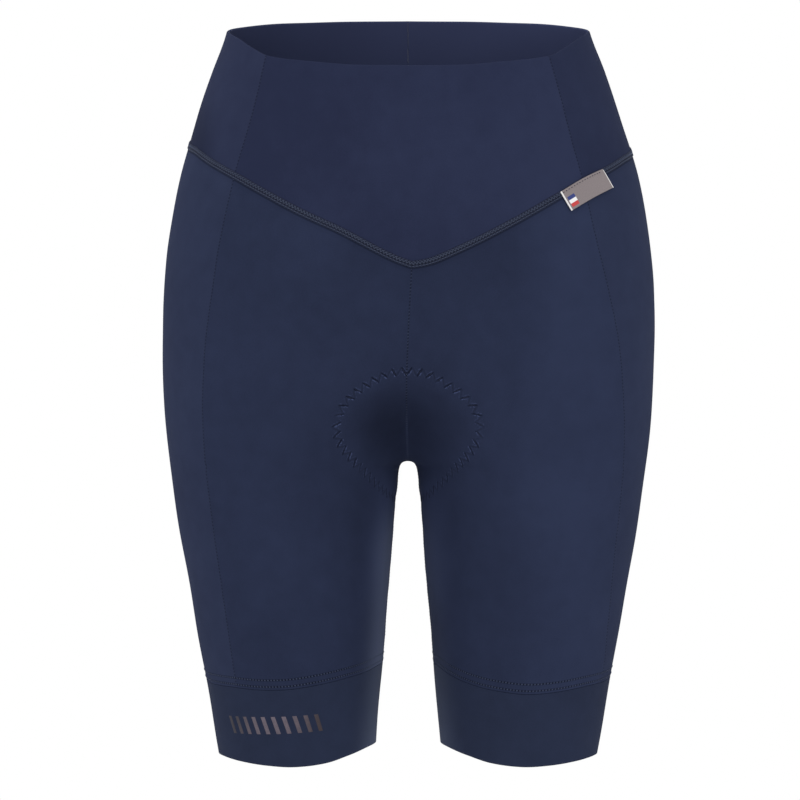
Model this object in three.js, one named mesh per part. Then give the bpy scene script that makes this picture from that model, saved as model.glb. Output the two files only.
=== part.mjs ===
import * as THREE from "three";

// Cycling shorts filled out as on a standing wearer, in millimetres, with +Z up.
// The origin is the middle of the waist opening, level with its edge at the wearer's sides.
// -Y is the front and +X is the wearer's left.

// Driving sizes.
const CROTCH_HEIGHT = -308.5;
const CROTCH_RISE = 77; // height over which the crotch curve opens to full depth
const ARCH_HEIGHT = 2.2; // height of the small arch between the thighs
const ARCH_HALF_WIDTH = 6.3; // half the space between the thighs just below the arch
const LEG_SPREAD = 0.083; // how fast each inner thigh leaves the middle plane
const CLEFT_SOFTNESS = 11; // rounds the form where it crosses the middle plane
const BODY_WALL = 1.3;
const WAISTBAND_WALL = 2;
const CUFF_WALL = 1.8;
const SEAM_GAP = 0.3;

// The shape of the form, one row for each height, from the hem to the waist.
// halfWidth is the reach to the side; front and back are the foremost and rearmost Y;
// widest is the Y where the form is widest; squareness is 2 for an ellipse.
const FORM = [
  { height: -545, halfWidth: 131.5, front: -70, back: 60, widest: -5, squareness: 2.0 },
  { height: -480, halfWidth: 142.8, front: -79, back: 67, widest: -6, squareness: 2.0 },
  { height: -420, halfWidth: 153.2, front: -87, back: 76, widest: -6, squareness: 2.0 },
  { height: -360, halfWidth: 163.6, front: -93, back: 88, widest: -4, squareness: 2.0 },
  { height: -310, halfWidth: 171.4, front: -96, back: 103, widest: 0, squareness: 2.0 },
  { height: -265, halfWidth: 175.6, front: -98, back: 116, widest: 5, squareness: 2.1 },
  { height: -225, halfWidth: 177.3, front: -101, back: 123, widest: 7, squareness: 2.2 },
  { height: -195, halfWidth: 176.6, front: -104, back: 124, widest: 6, squareness: 2.2 },
  { height: -150, halfWidth: 172.6, front: -106, back: 120, widest: 4, squareness: 2.2 },
  { height: -105, halfWidth: 164.5, front: -103, back: 111, widest: 2, squareness: 2.2 },
  { height: -65, halfWidth: 152.5, front: -98, back: 101, widest: 0, squareness: 2.2 },
  { height: -30, halfWidth: 140.5, front: -92, back: 93, widest: 0, squareness: 2.2 },
  { height: 0, halfWidth: 129.7, front: -88, back: 88, widest: 0, squareness: 2.2 },
  { height: 25, halfWidth: 126.0, front: -86, back: 84, widest: 0, squareness: 2.2 },
];

// The front side seam: how far in front of the side line it runs, along the cloth.
// The shorts sit turned a little on the wearer, so the left seam lies nearer the side.
const SIDE_SEAM = [
  { height: -530, left: 33, right: 61 },
  { height: -460, left: 40.5, right: 67.5 },
  { height: -410, left: 50, right: 72.5 },
  { height: -370, left: 59.5, right: 77 },
  { height: -325, left: 66, right: 81.5 },
  { height: -280, left: 74, right: 86 },
  { height: -235, left: 83.5, right: 91.5 },
  { height: -190, left: 92, right: 95 },
  { height: -145, left: 98.5, right: 96 },
  { height: -100, left: 98, right: 95 },
  { height: -55, left: 91, right: 90.5 },
  { height: -20, left: 85.5, right: 83.5 },
  { height: 0, left: 82, right: 79 },
];

// Heights of the waist edge, of the waistband's lower seam, of the cuff seam and of the hem.
// around is 0 at the centre front, 0.5 at the side and 1 at the centre back; below the
// crotch it is 0 and 1 at the inseam.
const WAIST_EDGE = [
  { around: 0, height: -30.5 },
  { around: 0.1, height: -30 },
  { around: 0.16, height: -28 },
  { around: 0.21, height: -26 },
  { around: 0.25, height: -24 },
  { around: 0.28, height: -21.5 },
  { around: 0.32, height: -15.5 },
  { around: 0.37, height: -8.5 },
  { around: 0.44, height: -2.5 },
  { around: 0.5, height: 0.5 },
  { around: 0.6, height: 5.5 },
  { around: 0.7, height: 10 },
  { around: 0.78, height: 12 },
  { around: 0.87, height: 13.5 },
  { around: 1, height: 14 },
];
const YOKE_SEAM = [
  { around: 0, left: -168, right: -168 },
  { around: 0.02, left: -166.5, right: -164.5 },
  { around: 0.04, left: -163.5, right: -160 },
  { around: 0.1, left: -151, right: -145 },
  { around: 0.16, left: -137, right: -132.5 },
  { around: 0.23, left: -120.5, right: -117 },
  { around: 0.28, left: -110, right: -106.5 },
  { around: 0.34, left: -100.5, right: -96 },
  { around: 0.4, left: -92.5, right: -87 },
  { around: 0.48, left: -87, right: -82 },
  { around: 0.62, left: -77.5, right: -74 },
  { around: 0.8, left: -68, right: -67.5 },
  { around: 1, left: -65, right: -65 },
];
const CUFF_SEAM = [
  { around: 0, left: -453.5, right: -453 },
  { around: 0.05, left: -454, right: -453 },
  { around: 0.1, left: -458, right: -455.5 },
  { around: 0.16, left: -463, right: -458.5 },
  { around: 0.2, left: -465.5, right: -461 },
  { around: 0.25, left: -467.5, right: -464 },
  { around: 0.3, left: -466.5, right: -465 },
  { around: 0.36, left: -464, right: -464.5 },
  { around: 0.45, left: -463, right: -465 },
  { around: 0.6, left: -462, right: -463 },
  { around: 0.8, left: -457.5, right: -457.5 },
  { around: 1, left: -453.5, right: -453 },
];
const HEM = [
  { around: 0, height: -511 },
  { around: 0.07, height: -511 },
  { around: 0.14, height: -514 },
  { around: 0.19, height: -517.5 },
  { around: 0.25, height: -519.5 },
  { around: 0.3, height: -519 },
  { around: 0.36, height: -518 },
  { around: 0.43, height: -517.5 },
  { around: 0.5, height: -518.5 },
  { around: 0.6, height: -518 },
  { around: 0.8, height: -514.5 },
  { around: 1, height: -511 },
];

// The seat pad, one row for each distance along the crotch from its front end.
const PAD_FRONT_HEIGHT = -239;
const PAD = [
  { along: 0, halfWidth: 14, thickness: 1.2 },
  { along: 4, halfWidth: 26, thickness: 1.5 },
  { along: 9, halfWidth: 38, thickness: 1.9 },
  { along: 17, halfWidth: 50, thickness: 2.5 },
  { along: 28, halfWidth: 58, thickness: 3.2 },
  { along: 39, halfWidth: 59, thickness: 3.8 },
  { along: 53, halfWidth: 53.5, thickness: 4.4 },
  { along: 70, halfWidth: 45, thickness: 5 },
  { along: 90, halfWidth: 38.5, thickness: 5.6 },
  { along: 112, halfWidth: 35, thickness: 6.2 },
  { along: 138, halfWidth: 41, thickness: 7 },
  { along: 178, halfWidth: 65, thickness: 8 },
  { along: 218, halfWidth: 84, thickness: 8 },
  { along: 258, halfWidth: 86, thickness: 7 },
  { along: 298, halfWidth: 70, thickness: 5 },
  { along: 328, halfWidth: 46, thickness: 3 },
  { along: 344, halfWidth: 20, thickness: 1.4 },
];
const PAD_EDGE = 1;
const PAD_CLEARANCE = 2.2;

// The woven label, hung from the yoke seam on the wearer's left.
const LABEL_START = 0.2325; // where its near end meets the seam, as a share of the way round
const LABEL_LENGTH = 41;
const LABEL_DROP = 15.5;
const LABEL_THICKNESS = 1;
const LABEL_LIFT = 0.9; // extra stand-off of its free lower edge

// A smooth curve through one column of a table, flat beyond its ends.
function along(table, key, column, at) {
  const last = table.length - 1;
  if (at <= table[0][key]) {
    return table[0][column];
  }
  if (at >= table[last][key]) {
    return table[last][column];
  }
  let row = 0;
  while (table[row + 1][key] < at) {
    row += 1;
  }
  const slope = (i) => {
    const from = Math.max(i - 1, 0);
    const to = Math.min(i + 1, last);
    return (table[to][column] - table[from][column]) / (table[to][key] - table[from][key]);
  };
  const span = table[row + 1][key] - table[row][key];
  const t = (at - table[row][key]) / span;
  const start = table[row][column];
  const end = table[row + 1][column];
  return (
    start * (1 + 2 * t) * (1 - t) ** 2 +
    end * t * t * (3 - 2 * t) +
    span * slope(row) * t * (1 - t) ** 2 -
    span * slope(row + 1) * t * t * (1 - t)
  );
}

// The level section of one side of the shorts. Above the crotch it opens on the middle
// plane at both ends; below the crotch it closes round the thigh.
function section(height) {
  const power = along(FORM, "height", "squareness", height);
  const middle = along(FORM, "height", "widest", height);
  const front = middle - along(FORM, "height", "front", height);
  const back = along(FORM, "height", "back", height) - middle;
  const reach = Math.hypot(along(FORM, "height", "halfWidth", height), CLEFT_SOFTNESS);
  const above = height - CROTCH_HEIGHT;
  if (above >= 0) {
    const rise = above / CROTCH_RISE;
    const share = rise / (1 + rise ** 4) ** 0.25;
    const cut = Math.max(1 - share ** (power / 2), 0) ** (1 / power);
    const radius = (reach - CLEFT_SOFTNESS) / (1 + cut);
    const start = Math.acos(Math.min(cut ** (power / 2), 1));
    return { power, middle, front, back, radius, centre: CLEFT_SOFTNESS + cut * radius, start };
  }
  const arch = Math.sqrt(1 - Math.exp(above / ARCH_HEIGHT));
  const inner = Math.hypot((ARCH_HALF_WIDTH - LEG_SPREAD * above) * arch, CLEFT_SOFTNESS);
  const radius = (reach - inner) / 2;
  return { power, middle, front, back, radius, centre: (reach + inner) / 2, start: 0 };
}

// The point of a section at an angle: 0 is the middle front, pi the side, 2 pi the middle back.
function sectionPoint(cut, angle) {
  const across = Math.cos(angle);
  const deep = Math.sin(angle);
  const softX = cut.centre - cut.radius * Math.sign(across) * Math.abs(across) ** (2 / cut.power);
  const depth = deep > 0 ? cut.front : cut.back;
  const y = cut.middle - depth * Math.sign(deep) * Math.abs(deep) ** (2 / cut.power);
  return [Math.sqrt(Math.max(softX * softX - CLEFT_SOFTNESS ** 2, 0)), y];
}

// The section's samples from front to back, crowded towards both ends, with the length of
// cloth up to each.
const SAMPLES = 240;
function angleAt(cut, share) {
  return cut.start + (2 * Math.PI - 2 * cut.start) * share ** 2 * (3 - 2 * share);
}
function ring(height) {
  const cut = section(height);
  const lengths = [0];
  let before = sectionPoint(cut, angleAt(cut, 0));
  for (let i = 1; i <= SAMPLES; i += 1) {
    const point = sectionPoint(cut, angleAt(cut, i / SAMPLES));
    lengths.push(lengths[i - 1] + Math.hypot(point[0] - before[0], point[1] - before[1]));
    before = point;
  }
  return { cut, lengths, total: lengths[SAMPLES], side: lengths[SAMPLES / 2] };
}

// Ring lengths at every millimetre of height, for placing seams.
const LOWEST = -545;
const HIGHEST = 25;
const girths = [];
for (let height = LOWEST; height <= HIGHEST; height += 1) {
  const { total, side } = ring(height);
  girths.push({ height, total, side });
}
function girth(height, column) {
  const from = Math.min(Math.max(Math.floor(height - LOWEST), 0), girths.length - 2);
  const t = height - LOWEST - from;
  return girths[from][column] * (1 - t) + girths[from + 1][column] * t;
}

// The outer surface at a share of the way round, from centre front to centre back.
function surface(around, height) {
  const { cut, lengths, total } = ring(height);
  const wanted = Math.min(Math.max(around, 0), 1) * total;
  let low = 0;
  let high = SAMPLES;
  while (high - low > 1) {
    const half = (low + high) >> 1;
    if (lengths[half] <= wanted) {
      low = half;
    } else {
      high = half;
    }
  }
  const t = (wanted - lengths[low]) / Math.max(lengths[high] - lengths[low], 1e-9);
  const [x, y] = sectionPoint(cut, angleAt(cut, (low + t) / SAMPLES));
  return new THREE.Vector3(x, y, height);
}

// Zero on the surface, negative inside it.
function depthIn(x, y, height) {
  const { power, middle, front, back, radius, centre } = section(height);
  const softX = Math.hypot(x, CLEFT_SOFTNESS);
  const depth = y < middle ? front : back;
  return Math.abs((softX - centre) / radius) ** power + Math.abs((y - middle) / depth) ** power - 1;
}
function gradient(point) {
  const h = 0.05;
  const { x, y, z } = point;
  return new THREE.Vector3(
    (depthIn(x + h, y, z) - depthIn(x - h, y, z)) / (2 * h),
    (depthIn(x, y + h, z) - depthIn(x, y - h, z)) / (2 * h),
    (depthIn(x, y, z + h) - depthIn(x, y, z - h)) / (2 * h),
  );
}
function moved(point, distance) {
  return point.clone().addScaledVector(gradient(point).normalize(), distance);
}

// A closed body between an outer and an inner grid of points, both [row][column] with the
// columns running round from the front and the rows running upwards.
function shell(name, outer, inner, side, closedRound, colour) {
  const rows = outer.length;
  const columns = outer[0].length;
  const points = [...outer.flat(), ...inner.flat()];
  const positions = [];
  for (const point of points) {
    positions.push(side * point.x, point.y, point.z);
  }
  const triangles = [];
  const add = (a, b, c) => triangles.push(...(side > 0 ? [a, b, c] : [a, c, b]));
  const at = (layer, row, column) => (layer * rows + row) * columns + (column % columns);
  const lastColumn = closedRound ? columns : columns - 1;
  for (let i = 0; i < rows - 1; i += 1) {
    for (let j = 0; j < lastColumn; j += 1) {
      const k = (j + 1) % columns;
      const rising = outer[i][j].distanceTo(outer[i + 1][k]);
      const falling = outer[i][k].distanceTo(outer[i + 1][j]);
      for (const layer of [0, 1]) {
        const [a, b] = [at(layer, i, j), at(layer, i, k)];
        const [c, d] = [at(layer, i + 1, k), at(layer, i + 1, j)];
        const halves = rising < falling ? [[a, b, c], [a, c, d]] : [[a, b, d], [b, c, d]];
        for (const [p, q, r] of halves) {
          add(...(layer === 0 ? [p, q, r] : [p, r, q]));
        }
      }
    }
  }
  const rim = (a, b) => {
    const inside = rows * columns;
    add(a, b + inside, b);
    add(a, a + inside, b + inside);
  };
  for (let j = 0; j < lastColumn; j += 1) {
    rim(at(0, 0, j), at(0, 0, (j + 1) % columns));
    rim(at(0, rows - 1, (j + 1) % columns), at(0, rows - 1, j));
  }
  if (!closedRound) {
    for (let i = 0; i < rows - 1; i += 1) {
      rim(at(0, i + 1, 0), at(0, i, 0));
      rim(at(0, i, columns - 1), at(0, i + 1, columns - 1));
    }
  }
  const geometry = new THREE.BufferGeometry();
  geometry.setAttribute("position", new THREE.Float32BufferAttribute(positions, 3));
  geometry.setIndex(triangles);
  geometry.computeVertexNormals();
  const material = new THREE.MeshStandardMaterial({ color: colour, roughness: 0.8, metalness: 0 });
  const mesh = new THREE.Mesh(geometry, material);
  mesh.name = name;
  return mesh;
}

// Where the front side seam lies at a height, as a share of the way round.
function sideSeam(height, wearerSide) {
  const forward = along(SIDE_SEAM, "height", wearerSide, height);
  return (girth(height, "side") - forward) / girth(height, "total");
}

const middleFront = () => 0;
const middleBack = () => 1;

// The length of cloth, from the middle plane, that leaves half a seam gap beside the plane.
function middleMargin(height, atBack) {
  if (height < CROTCH_HEIGHT) {
    return SEAM_GAP / 2;
  }
  const cut = section(height);
  const softX = Math.hypot(SEAM_GAP / 2, CLEFT_SOFTNESS);
  const angle = Math.acos(((cut.centre - softX) / cut.radius) ** (cut.power / 2));
  const [x, y] = sectionPoint(cut, atBack ? -angle : angle);
  const [edgeX, edgeY] = sectionPoint(cut, atBack ? -cut.start : cut.start);
  return Math.max(Math.hypot(x - edgeX, y - edgeY), SEAM_GAP / 2);
}

// A panel between two upright seams and a lower and an upper line. Each bounding seam is
// drawn back by half the seam gap.
function panel(name, side, { left, right, bottom, top, columns, rows, wall, colour }) {
  const outer = [];
  const inner = [];
  for (const up of rows) {
    const outerRow = [];
    const innerRow = [];
    for (const acrossShare of columns) {
      let around = 0.5;
      let height = -200;
      for (let pass = 0; pass < 12; pass += 1) {
        const low = bottom(around) + SEAM_GAP / 2;
        const high = top(around) - SEAM_GAP / 2;
        height = up(low, high, around);
        const length = girth(height, "total");
        const leftMargin = left === middleFront ? middleMargin(height, false) : SEAM_GAP / 2;
        const rightMargin = right === middleBack ? middleMargin(height, true) : SEAM_GAP / 2;
        const from = left(height) + leftMargin / length;
        const to = right(height) - rightMargin / length;
        around = from + (to - from) * acrossShare;
      }
      const point = surface(around, height);
      outerRow.push(point);
      innerRow.push(moved(point, -wall));
    }
    outer.push(outerRow);
    inner.push(innerRow);
  }
  return shell(name, outer, inner, side, false, colour);
}

const evenly = (count) => Array.from({ length: count + 1 }, (_, i) => i / count);

// Columns crowd towards the middle plane, where the form curves most.
const frontColumns = evenly(11).map((share) => share ** 1.35);
const backColumns = evenly(22).map((share) => 1 - (1 - share) ** 1.3);

// Rows of the waistband are even. Rows of the legs include the crotch height, and crowd
// towards it near the middle plane.
function waistbandRows(count) {
  return evenly(count).map((share) => (low, high) => low + (high - low) * share);
}
function crowding(around) {
  const near = Math.min(Math.max((Math.min(around, 1 - around) - 0.03) / 0.22, 0), 1);
  return 1 - near * near * (3 - 2 * near);
}
function legRows(below, above) {
  const blend = (share, power, around) => {
    const crowded = crowding(around);
    return share ** power * crowded + share * (1 - crowded);
  };
  const fall = (share) => (low, high, around) =>
    CROTCH_HEIGHT - (CROTCH_HEIGHT - low) * blend(1 - share, 2.1, around);
  const rise = (share) => (low, high, around) =>
    CROTCH_HEIGHT + (high - CROTCH_HEIGHT) * blend(share, 1.7, around);
  return [...evenly(below).map(fall), ...evenly(above).slice(1).map(rise)];
}

const waistEdge = (around) => along(WAIST_EDGE, "around", "height", around);
const yokeSeam = (around, wearerSide) => along(YOKE_SEAM, "around", wearerSide, around);
const cuffSeam = (around, wearerSide) => along(CUFF_SEAM, "around", wearerSide, around);
const hem = (around) => along(HEM, "around", "height", around);

const shorts = new THREE.Group();
const NAVY = 0x2a3046;
const HIP_NAVY = 0x32374d;
const CUFF_NAVY = 0x272e41;

for (const [wearerSide, side] of [["left", 1], ["right", -1]]) {
  const seam = (height) => sideSeam(height, wearerSide);
  const yoke = (around) => yokeSeam(around, wearerSide);
  const cuff = (around) => cuffSeam(around, wearerSide);
  shorts.add(
    panel(`waistband_${wearerSide}`, side, {
      left: seam,
      right: middleBack,
      bottom: yoke,
      top: waistEdge,
      columns: backColumns,
      rows: waistbandRows(5),
      wall: WAISTBAND_WALL,
      colour: HIP_NAVY,
    }),
    panel(`leg_front_${wearerSide}`, side, {
      left: middleFront,
      right: seam,
      bottom: cuff,
      top: yoke,
      columns: frontColumns,
      rows: legRows(7, 12),
      wall: BODY_WALL,
      colour: NAVY,
    }),
    panel(`leg_back_${wearerSide}`, side, {
      left: seam,
      right: middleBack,
      bottom: cuff,
      top: yoke,
      columns: backColumns,
      rows: legRows(7, 12),
      wall: BODY_WALL,
      colour: HIP_NAVY,
    }),
  );
}

// The front of the waistband crosses the middle plane, so its two halves share one body.
const waistbandHalf = (wearerSide, side) =>
  waistbandRows(5).map((up) =>
    frontColumns.map((share) => {
      let around = 0;
      let height = -100;
      for (let pass = 0; pass < 12; pass += 1) {
        height = up(yokeSeam(around, wearerSide) + SEAM_GAP / 2, waistEdge(around));
        around = (sideSeam(height, wearerSide) - SEAM_GAP / 2 / girth(height, "total")) * share;
      }
      const outer = surface(around, height);
      const inner = moved(outer, -WAISTBAND_WALL);
      const flip = new THREE.Vector3(side, 1, 1);
      return [outer.multiply(flip), inner.multiply(flip)];
    }));
const leftHalf = waistbandHalf("left", 1);
const rightHalf = waistbandHalf("right", -1);
const wholeRows = leftHalf.map((row, i) => [...rightHalf[i].slice(1).reverse(), ...row]);
shorts.add(
  shell(
    "waistband_front",
    wholeRows.map((row) => row.map((pair) => pair[0])),
    wholeRows.map((row) => row.map((pair) => pair[1])),
    1,
    false,
    NAVY,
  ),
);

// Each cuff is a closed band round the thigh.
for (const [wearerSide, side] of [["left", 1], ["right", -1]]) {
  const outer = [];
  const inner = [];
  for (const up of evenly(3)) {
    const outerRow = [];
    const innerRow = [];
    const seamAt = sideSeam(-485, wearerSide);
    const rounds = [
      ...frontColumns.map((share) => share * seamAt),
      ...backColumns.slice(1, -1).map((share) => seamAt + (1 - seamAt) * share),
    ];
    for (const around of rounds) {
      const high = cuffSeam(around, wearerSide) - SEAM_GAP / 2;
      const height = hem(around) + (high - hem(around)) * up;
      const point = surface(around, height);
      outerRow.push(point);
      innerRow.push(moved(point, -CUFF_WALL));
    }
    outer.push(outerRow);
    inner.push(innerRow);
  }
  shorts.add(shell(`cuff_${wearerSide}`, outer, inner, side, true, CUFF_NAVY));
}

// The crotch curve lies in the middle plane. At a share from -1 (front) to 1 (back) it
// stands above the crotch by the height at which the section opens that far.
function crotchPoint(share) {
  const height = CROTCH_HEIGHT + (CROTCH_RISE * share ** 2) / (1 - share ** 8) ** 0.25;
  const { middle, front, back } = section(height);
  return new THREE.Vector3(0, middle + share * (share < 0 ? front : back), height);
}
const crotchCurve = [];
let walked = 0;
for (let share = -0.97; share < 0.999; share += 0.0005) {
  const point = crotchPoint(share);
  const before = crotchCurve[crotchCurve.length - 1];
  walked += before ? before.point.distanceTo(point) : 0;
  crotchCurve.push({ walked, share, point });
}
const padStart = crotchCurve.find((entry) => entry.point.z < PAD_FRONT_HEIGHT).walked;

// A point of the cloth's outer face, reached from the crotch curve by walking sideways in
// the plane square to the curve.
function crotchChart(distance, sideways) {
  const at = crotchCurve.find((entry) => entry.walked >= padStart + distance);
  const ahead = crotchPoint(at.share + 0.0005);
  const tangent = ahead.sub(crotchPoint(at.share - 0.0005)).normalize();
  const point = at.point.clone();
  const steps = Math.max(Math.ceil(Math.abs(sideways) / 2), 1);
  for (let i = 0; i < steps; i += 1) {
    const normal = gradient(point).normalize();
    const heading = new THREE.Vector3().crossVectors(tangent, normal).normalize();
    point.addScaledVector(heading, (Math.sign(heading.x) * Math.abs(sideways)) / steps);
    const pull = gradient(point);
    pull.addScaledVector(tangent, -pull.dot(tangent));
    point.addScaledVector(pull, -depthIn(point.x, point.y, point.z) / pull.lengthSq());
  }
  return point;
}

// The seat pad lies inside the crotch, thin at its edge and full in the middle.
const padRows = evenly(23).map((share) => {
  const crowdedEnds = share - (0.35 * Math.sin(2 * Math.PI * share)) / (2 * Math.PI);
  return crowdedEnds * PAD[PAD.length - 1].along;
});
const padOuter = [];
const padInner = [];
for (const distance of padRows) {
  const halfWidth = along(PAD, "along", "halfWidth", distance);
  const full = along(PAD, "along", "thickness", distance);
  const outerHalf = [];
  const innerHalf = [];
  for (const share of evenly(6)) {
    const onCloth = crotchChart(distance, halfWidth * share);
    const thickness = PAD_EDGE + (full - PAD_EDGE) * (1 - share ** 2) ** 0.7;
    outerHalf.push(moved(onCloth, -BODY_WALL - PAD_CLEARANCE));
    innerHalf.push(moved(onCloth, -BODY_WALL - PAD_CLEARANCE - thickness));
  }
  const flip = new THREE.Vector3(-1, 1, 1);
  const whole = (half) => [...half.slice(1).reverse().map((p) => p.clone().multiply(flip)), ...half];
  padOuter.unshift(whole(outerHalf));
  padInner.unshift(whole(innerHalf));
}
shorts.add(shell("seat_pad", padOuter, padInner, 1, false, 0x181c2f));

// The label follows the cloth below the yoke seam, and its lower edge stands a little off.
const labelOuter = [];
const labelInner = [];
for (const down of evenly(3).reverse()) {
  const outerRow = [];
  const innerRow = [];
  for (const share of evenly(8)) {
    const length = girth(-110, "total");
    const reach = (LABEL_LENGTH * 0.975 * share) / length;
    const slant = (LABEL_DROP * 0.385 * down) / length;
    const around = LABEL_START + reach + slant;
    const height = yokeSeam(LABEL_START + reach, "left") + 2 - LABEL_DROP * 0.84 * down;
    const onCloth = surface(around, height);
    const lift = SEAM_GAP + 0.1 + LABEL_LIFT * down ** 1.5;
    innerRow.push(moved(onCloth, lift));
    outerRow.push(moved(onCloth, lift + LABEL_THICKNESS));
  }
  labelOuter.push(outerRow);
  labelInner.push(innerRow);
}
shorts.add(shell("label", labelOuter, labelInner, 1, false, 0xa8a6a0));

export default shorts;
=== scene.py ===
import math

import bpy
import numpy as np
from mathutils import Matrix


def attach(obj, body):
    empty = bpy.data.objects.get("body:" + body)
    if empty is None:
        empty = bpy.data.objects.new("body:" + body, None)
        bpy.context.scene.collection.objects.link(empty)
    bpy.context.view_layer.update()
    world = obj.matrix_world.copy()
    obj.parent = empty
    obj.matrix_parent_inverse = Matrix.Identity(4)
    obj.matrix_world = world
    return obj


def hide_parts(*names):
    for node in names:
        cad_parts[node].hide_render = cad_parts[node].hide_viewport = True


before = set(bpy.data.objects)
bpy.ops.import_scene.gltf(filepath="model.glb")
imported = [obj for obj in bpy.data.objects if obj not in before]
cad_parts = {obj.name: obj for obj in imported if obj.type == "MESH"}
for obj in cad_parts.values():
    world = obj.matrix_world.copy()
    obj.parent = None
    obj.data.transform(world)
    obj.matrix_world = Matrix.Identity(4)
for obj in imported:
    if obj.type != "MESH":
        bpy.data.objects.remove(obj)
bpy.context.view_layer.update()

# ---------------------------------------------------------------------------------------
# Front leg panels. Two mirrored pieces of matte warp-knit stretch cloth, butted at the
# centre front and filled out over the belly and thighs. Sizes are in millimetres, as the
# cutter has them, and MM brings them to metres when a mesh is made.
# ---------------------------------------------------------------------------------------
MM = 0.001
CROTCH_HEIGHT = -308.5
CROTCH_RISE = 77.0
ARCH_HEIGHT = 2.2
ARCH_HALF_WIDTH = 6.3
LEG_SPREAD = 0.083
CLEFT_SOFTNESS = 11.0
BODY_WALL = 1.3
SEAM_GAP = 0.02

# Columns: height, half width, foremost y, rearmost y, y where widest, squareness.
FORM = np.array([
    [-545, 131.5, -70, 60, -5, 2.0],
    [-480, 142.8, -79, 67, -6, 2.0],
    [-420, 153.2, -87, 76, -6, 2.0],
    [-360, 163.6, -93, 88, -4, 2.0],
    [-310, 171.4, -96, 103, 0, 2.0],
    [-265, 175.6, -98, 116, 5, 2.1],
    [-225, 177.3, -101, 123, 7, 2.2],
    [-195, 176.6, -104, 124, 6, 2.2],
    [-150, 172.6, -106, 120, 4, 2.2],
    [-105, 164.5, -103, 111, 2, 2.2],
    [-65, 152.5, -98, 101, 0, 2.2],
    [-30, 140.5, -92, 93, 0, 2.2],
    [0, 129.7, -88, 88, 0, 2.2],
    [25, 126.0, -86, 84, 0, 2.2],
])

# How far in front of the side line each front side seam runs, along the cloth. The shorts
# sit turned a little on the wearer. Columns: height, wearer's left, wearer's right.
SIDE_SEAM = np.array([
    [-530, 33, 61],
    [-460, 40.5, 67.5],
    [-410, 50, 72.5],
    [-370, 59.5, 77],
    [-325, 66, 81.5],
    [-280, 74, 86],
    [-235, 83.5, 91.5],
    [-190, 92, 95],
    [-145, 98.5, 96],
    [-100, 98, 95],
    [-55, 91, 90.5],
    [-20, 85.5, 83.5],
    [0, 82, 79],
])

# Heights of the seams that run round the body. Columns: share of the way from centre front
# to centre back (or round the thigh from the inseam), wearer's left, wearer's right.
YOKE_SEAM = np.array([
    [0, -168, -168],
    [0.02, -166.5, -164.5],
    [0.04, -163.5, -160],
    [0.1, -151, -145],
    [0.16, -137, -132.5],
    [0.23, -120.5, -117],
    [0.28, -110, -106.5],
    [0.34, -100.5, -96],
    [0.4, -92.5, -87],
    [0.48, -87, -82],
    [0.62, -77.5, -74],
    [0.8, -68, -67.5],
    [1, -65, -65],
])
CUFF_SEAM = np.array([
    [0, -453.5, -453],
    [0.05, -454, -453],
    [0.1, -458, -455.5],
    [0.16, -463, -458.5],
    [0.2, -465.5, -461],
    [0.25, -467.5, -464],
    [0.3, -466.5, -465],
    [0.36, -464, -464.5],
    [0.45, -463, -465],
    [0.6, -462, -463],
    [0.8, -457.5, -457.5],
    [1, -453.5, -453],
])

# The centre-front seam wanders a little off the middle plane. Columns: height, millimetres
# towards the wearer's left.
FRONT_WANDER = np.array([
    [-330, 0],
    [-309, 0],
    [-290, -0.9],
    [-250, -1.3],
    [-215, -0.3],
    [-195, 0.5],
    [-168, 1.6],
    [-150, 1.0],
    [-110, 0],
])


def smooth_between(table, column, at):
    """Cubic curve through a table's column, whose slope at each row is that between its
    two neighbours; constant beyond the ends."""
    keys, values = table[:, 0].astype(float), table[:, column].astype(float)
    last = len(keys) - 1
    low = np.maximum(np.arange(last + 1) - 1, 0)
    high = np.minimum(np.arange(last + 1) + 1, last)
    slopes = (values[high] - values[low]) / (keys[high] - keys[low])
    at = np.clip(np.asarray(at, float), keys[0], keys[-1])
    row = np.clip(np.searchsorted(keys, at, side="right") - 1, 0, last - 1)
    span = keys[row + 1] - keys[row]
    t = (at - keys[row]) / span
    return (values[row] * (1 + 2 * t) * (1 - t) ** 2
            + values[row + 1] * t * t * (3 - 2 * t)
            + span * slopes[row] * t * (1 - t) ** 2
            - span * slopes[row + 1] * t * t * (1 - t))


def eased(value, low, high):
    """0 below low, 1 above high, and 3t^2 - 2t^3 between."""
    t = np.clip((value - low) / (high - low), 0, 1)
    return t * t * (3 - 2 * t)


def section(height):
    """The level section of one side: |(s - centre) / radius|^p + |(y - middle) / depth|^p
    = 1, where s = sqrt(x^2 + softness^2). Above the crotch it opens on the middle plane,
    and below it closes round the thigh."""
    height = np.asarray(height, float)
    half, front, back, middle, power = (
        smooth_between(FORM, column, height) for column in range(1, 6))
    reach = np.hypot(half, CLEFT_SOFTNESS)
    above = height - CROTCH_HEIGHT
    rise = np.maximum(above, 0) / CROTCH_RISE
    share = rise / (1 + rise ** 4) ** 0.25
    cut = np.maximum(1 - share ** (power / 2), 0) ** (1 / power)
    open_radius = (reach - CLEFT_SOFTNESS) / (1 + cut)
    below = np.maximum(-above, 0)
    arch = np.sqrt(1 - np.exp(-below / ARCH_HEIGHT))
    inner = np.hypot((ARCH_HALF_WIDTH + LEG_SPREAD * below) * arch, CLEFT_SOFTNESS)
    torso = above >= 0
    radius = np.where(torso, open_radius, (reach - inner) / 2)
    centre = np.where(torso, CLEFT_SOFTNESS + cut * open_radius, (reach + inner) / 2)
    start = np.where(torso, np.arccos(np.clip(cut ** (power / 2), 0, 1)), 0)
    return centre, radius, middle - front, back - middle, middle, power, start


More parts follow.
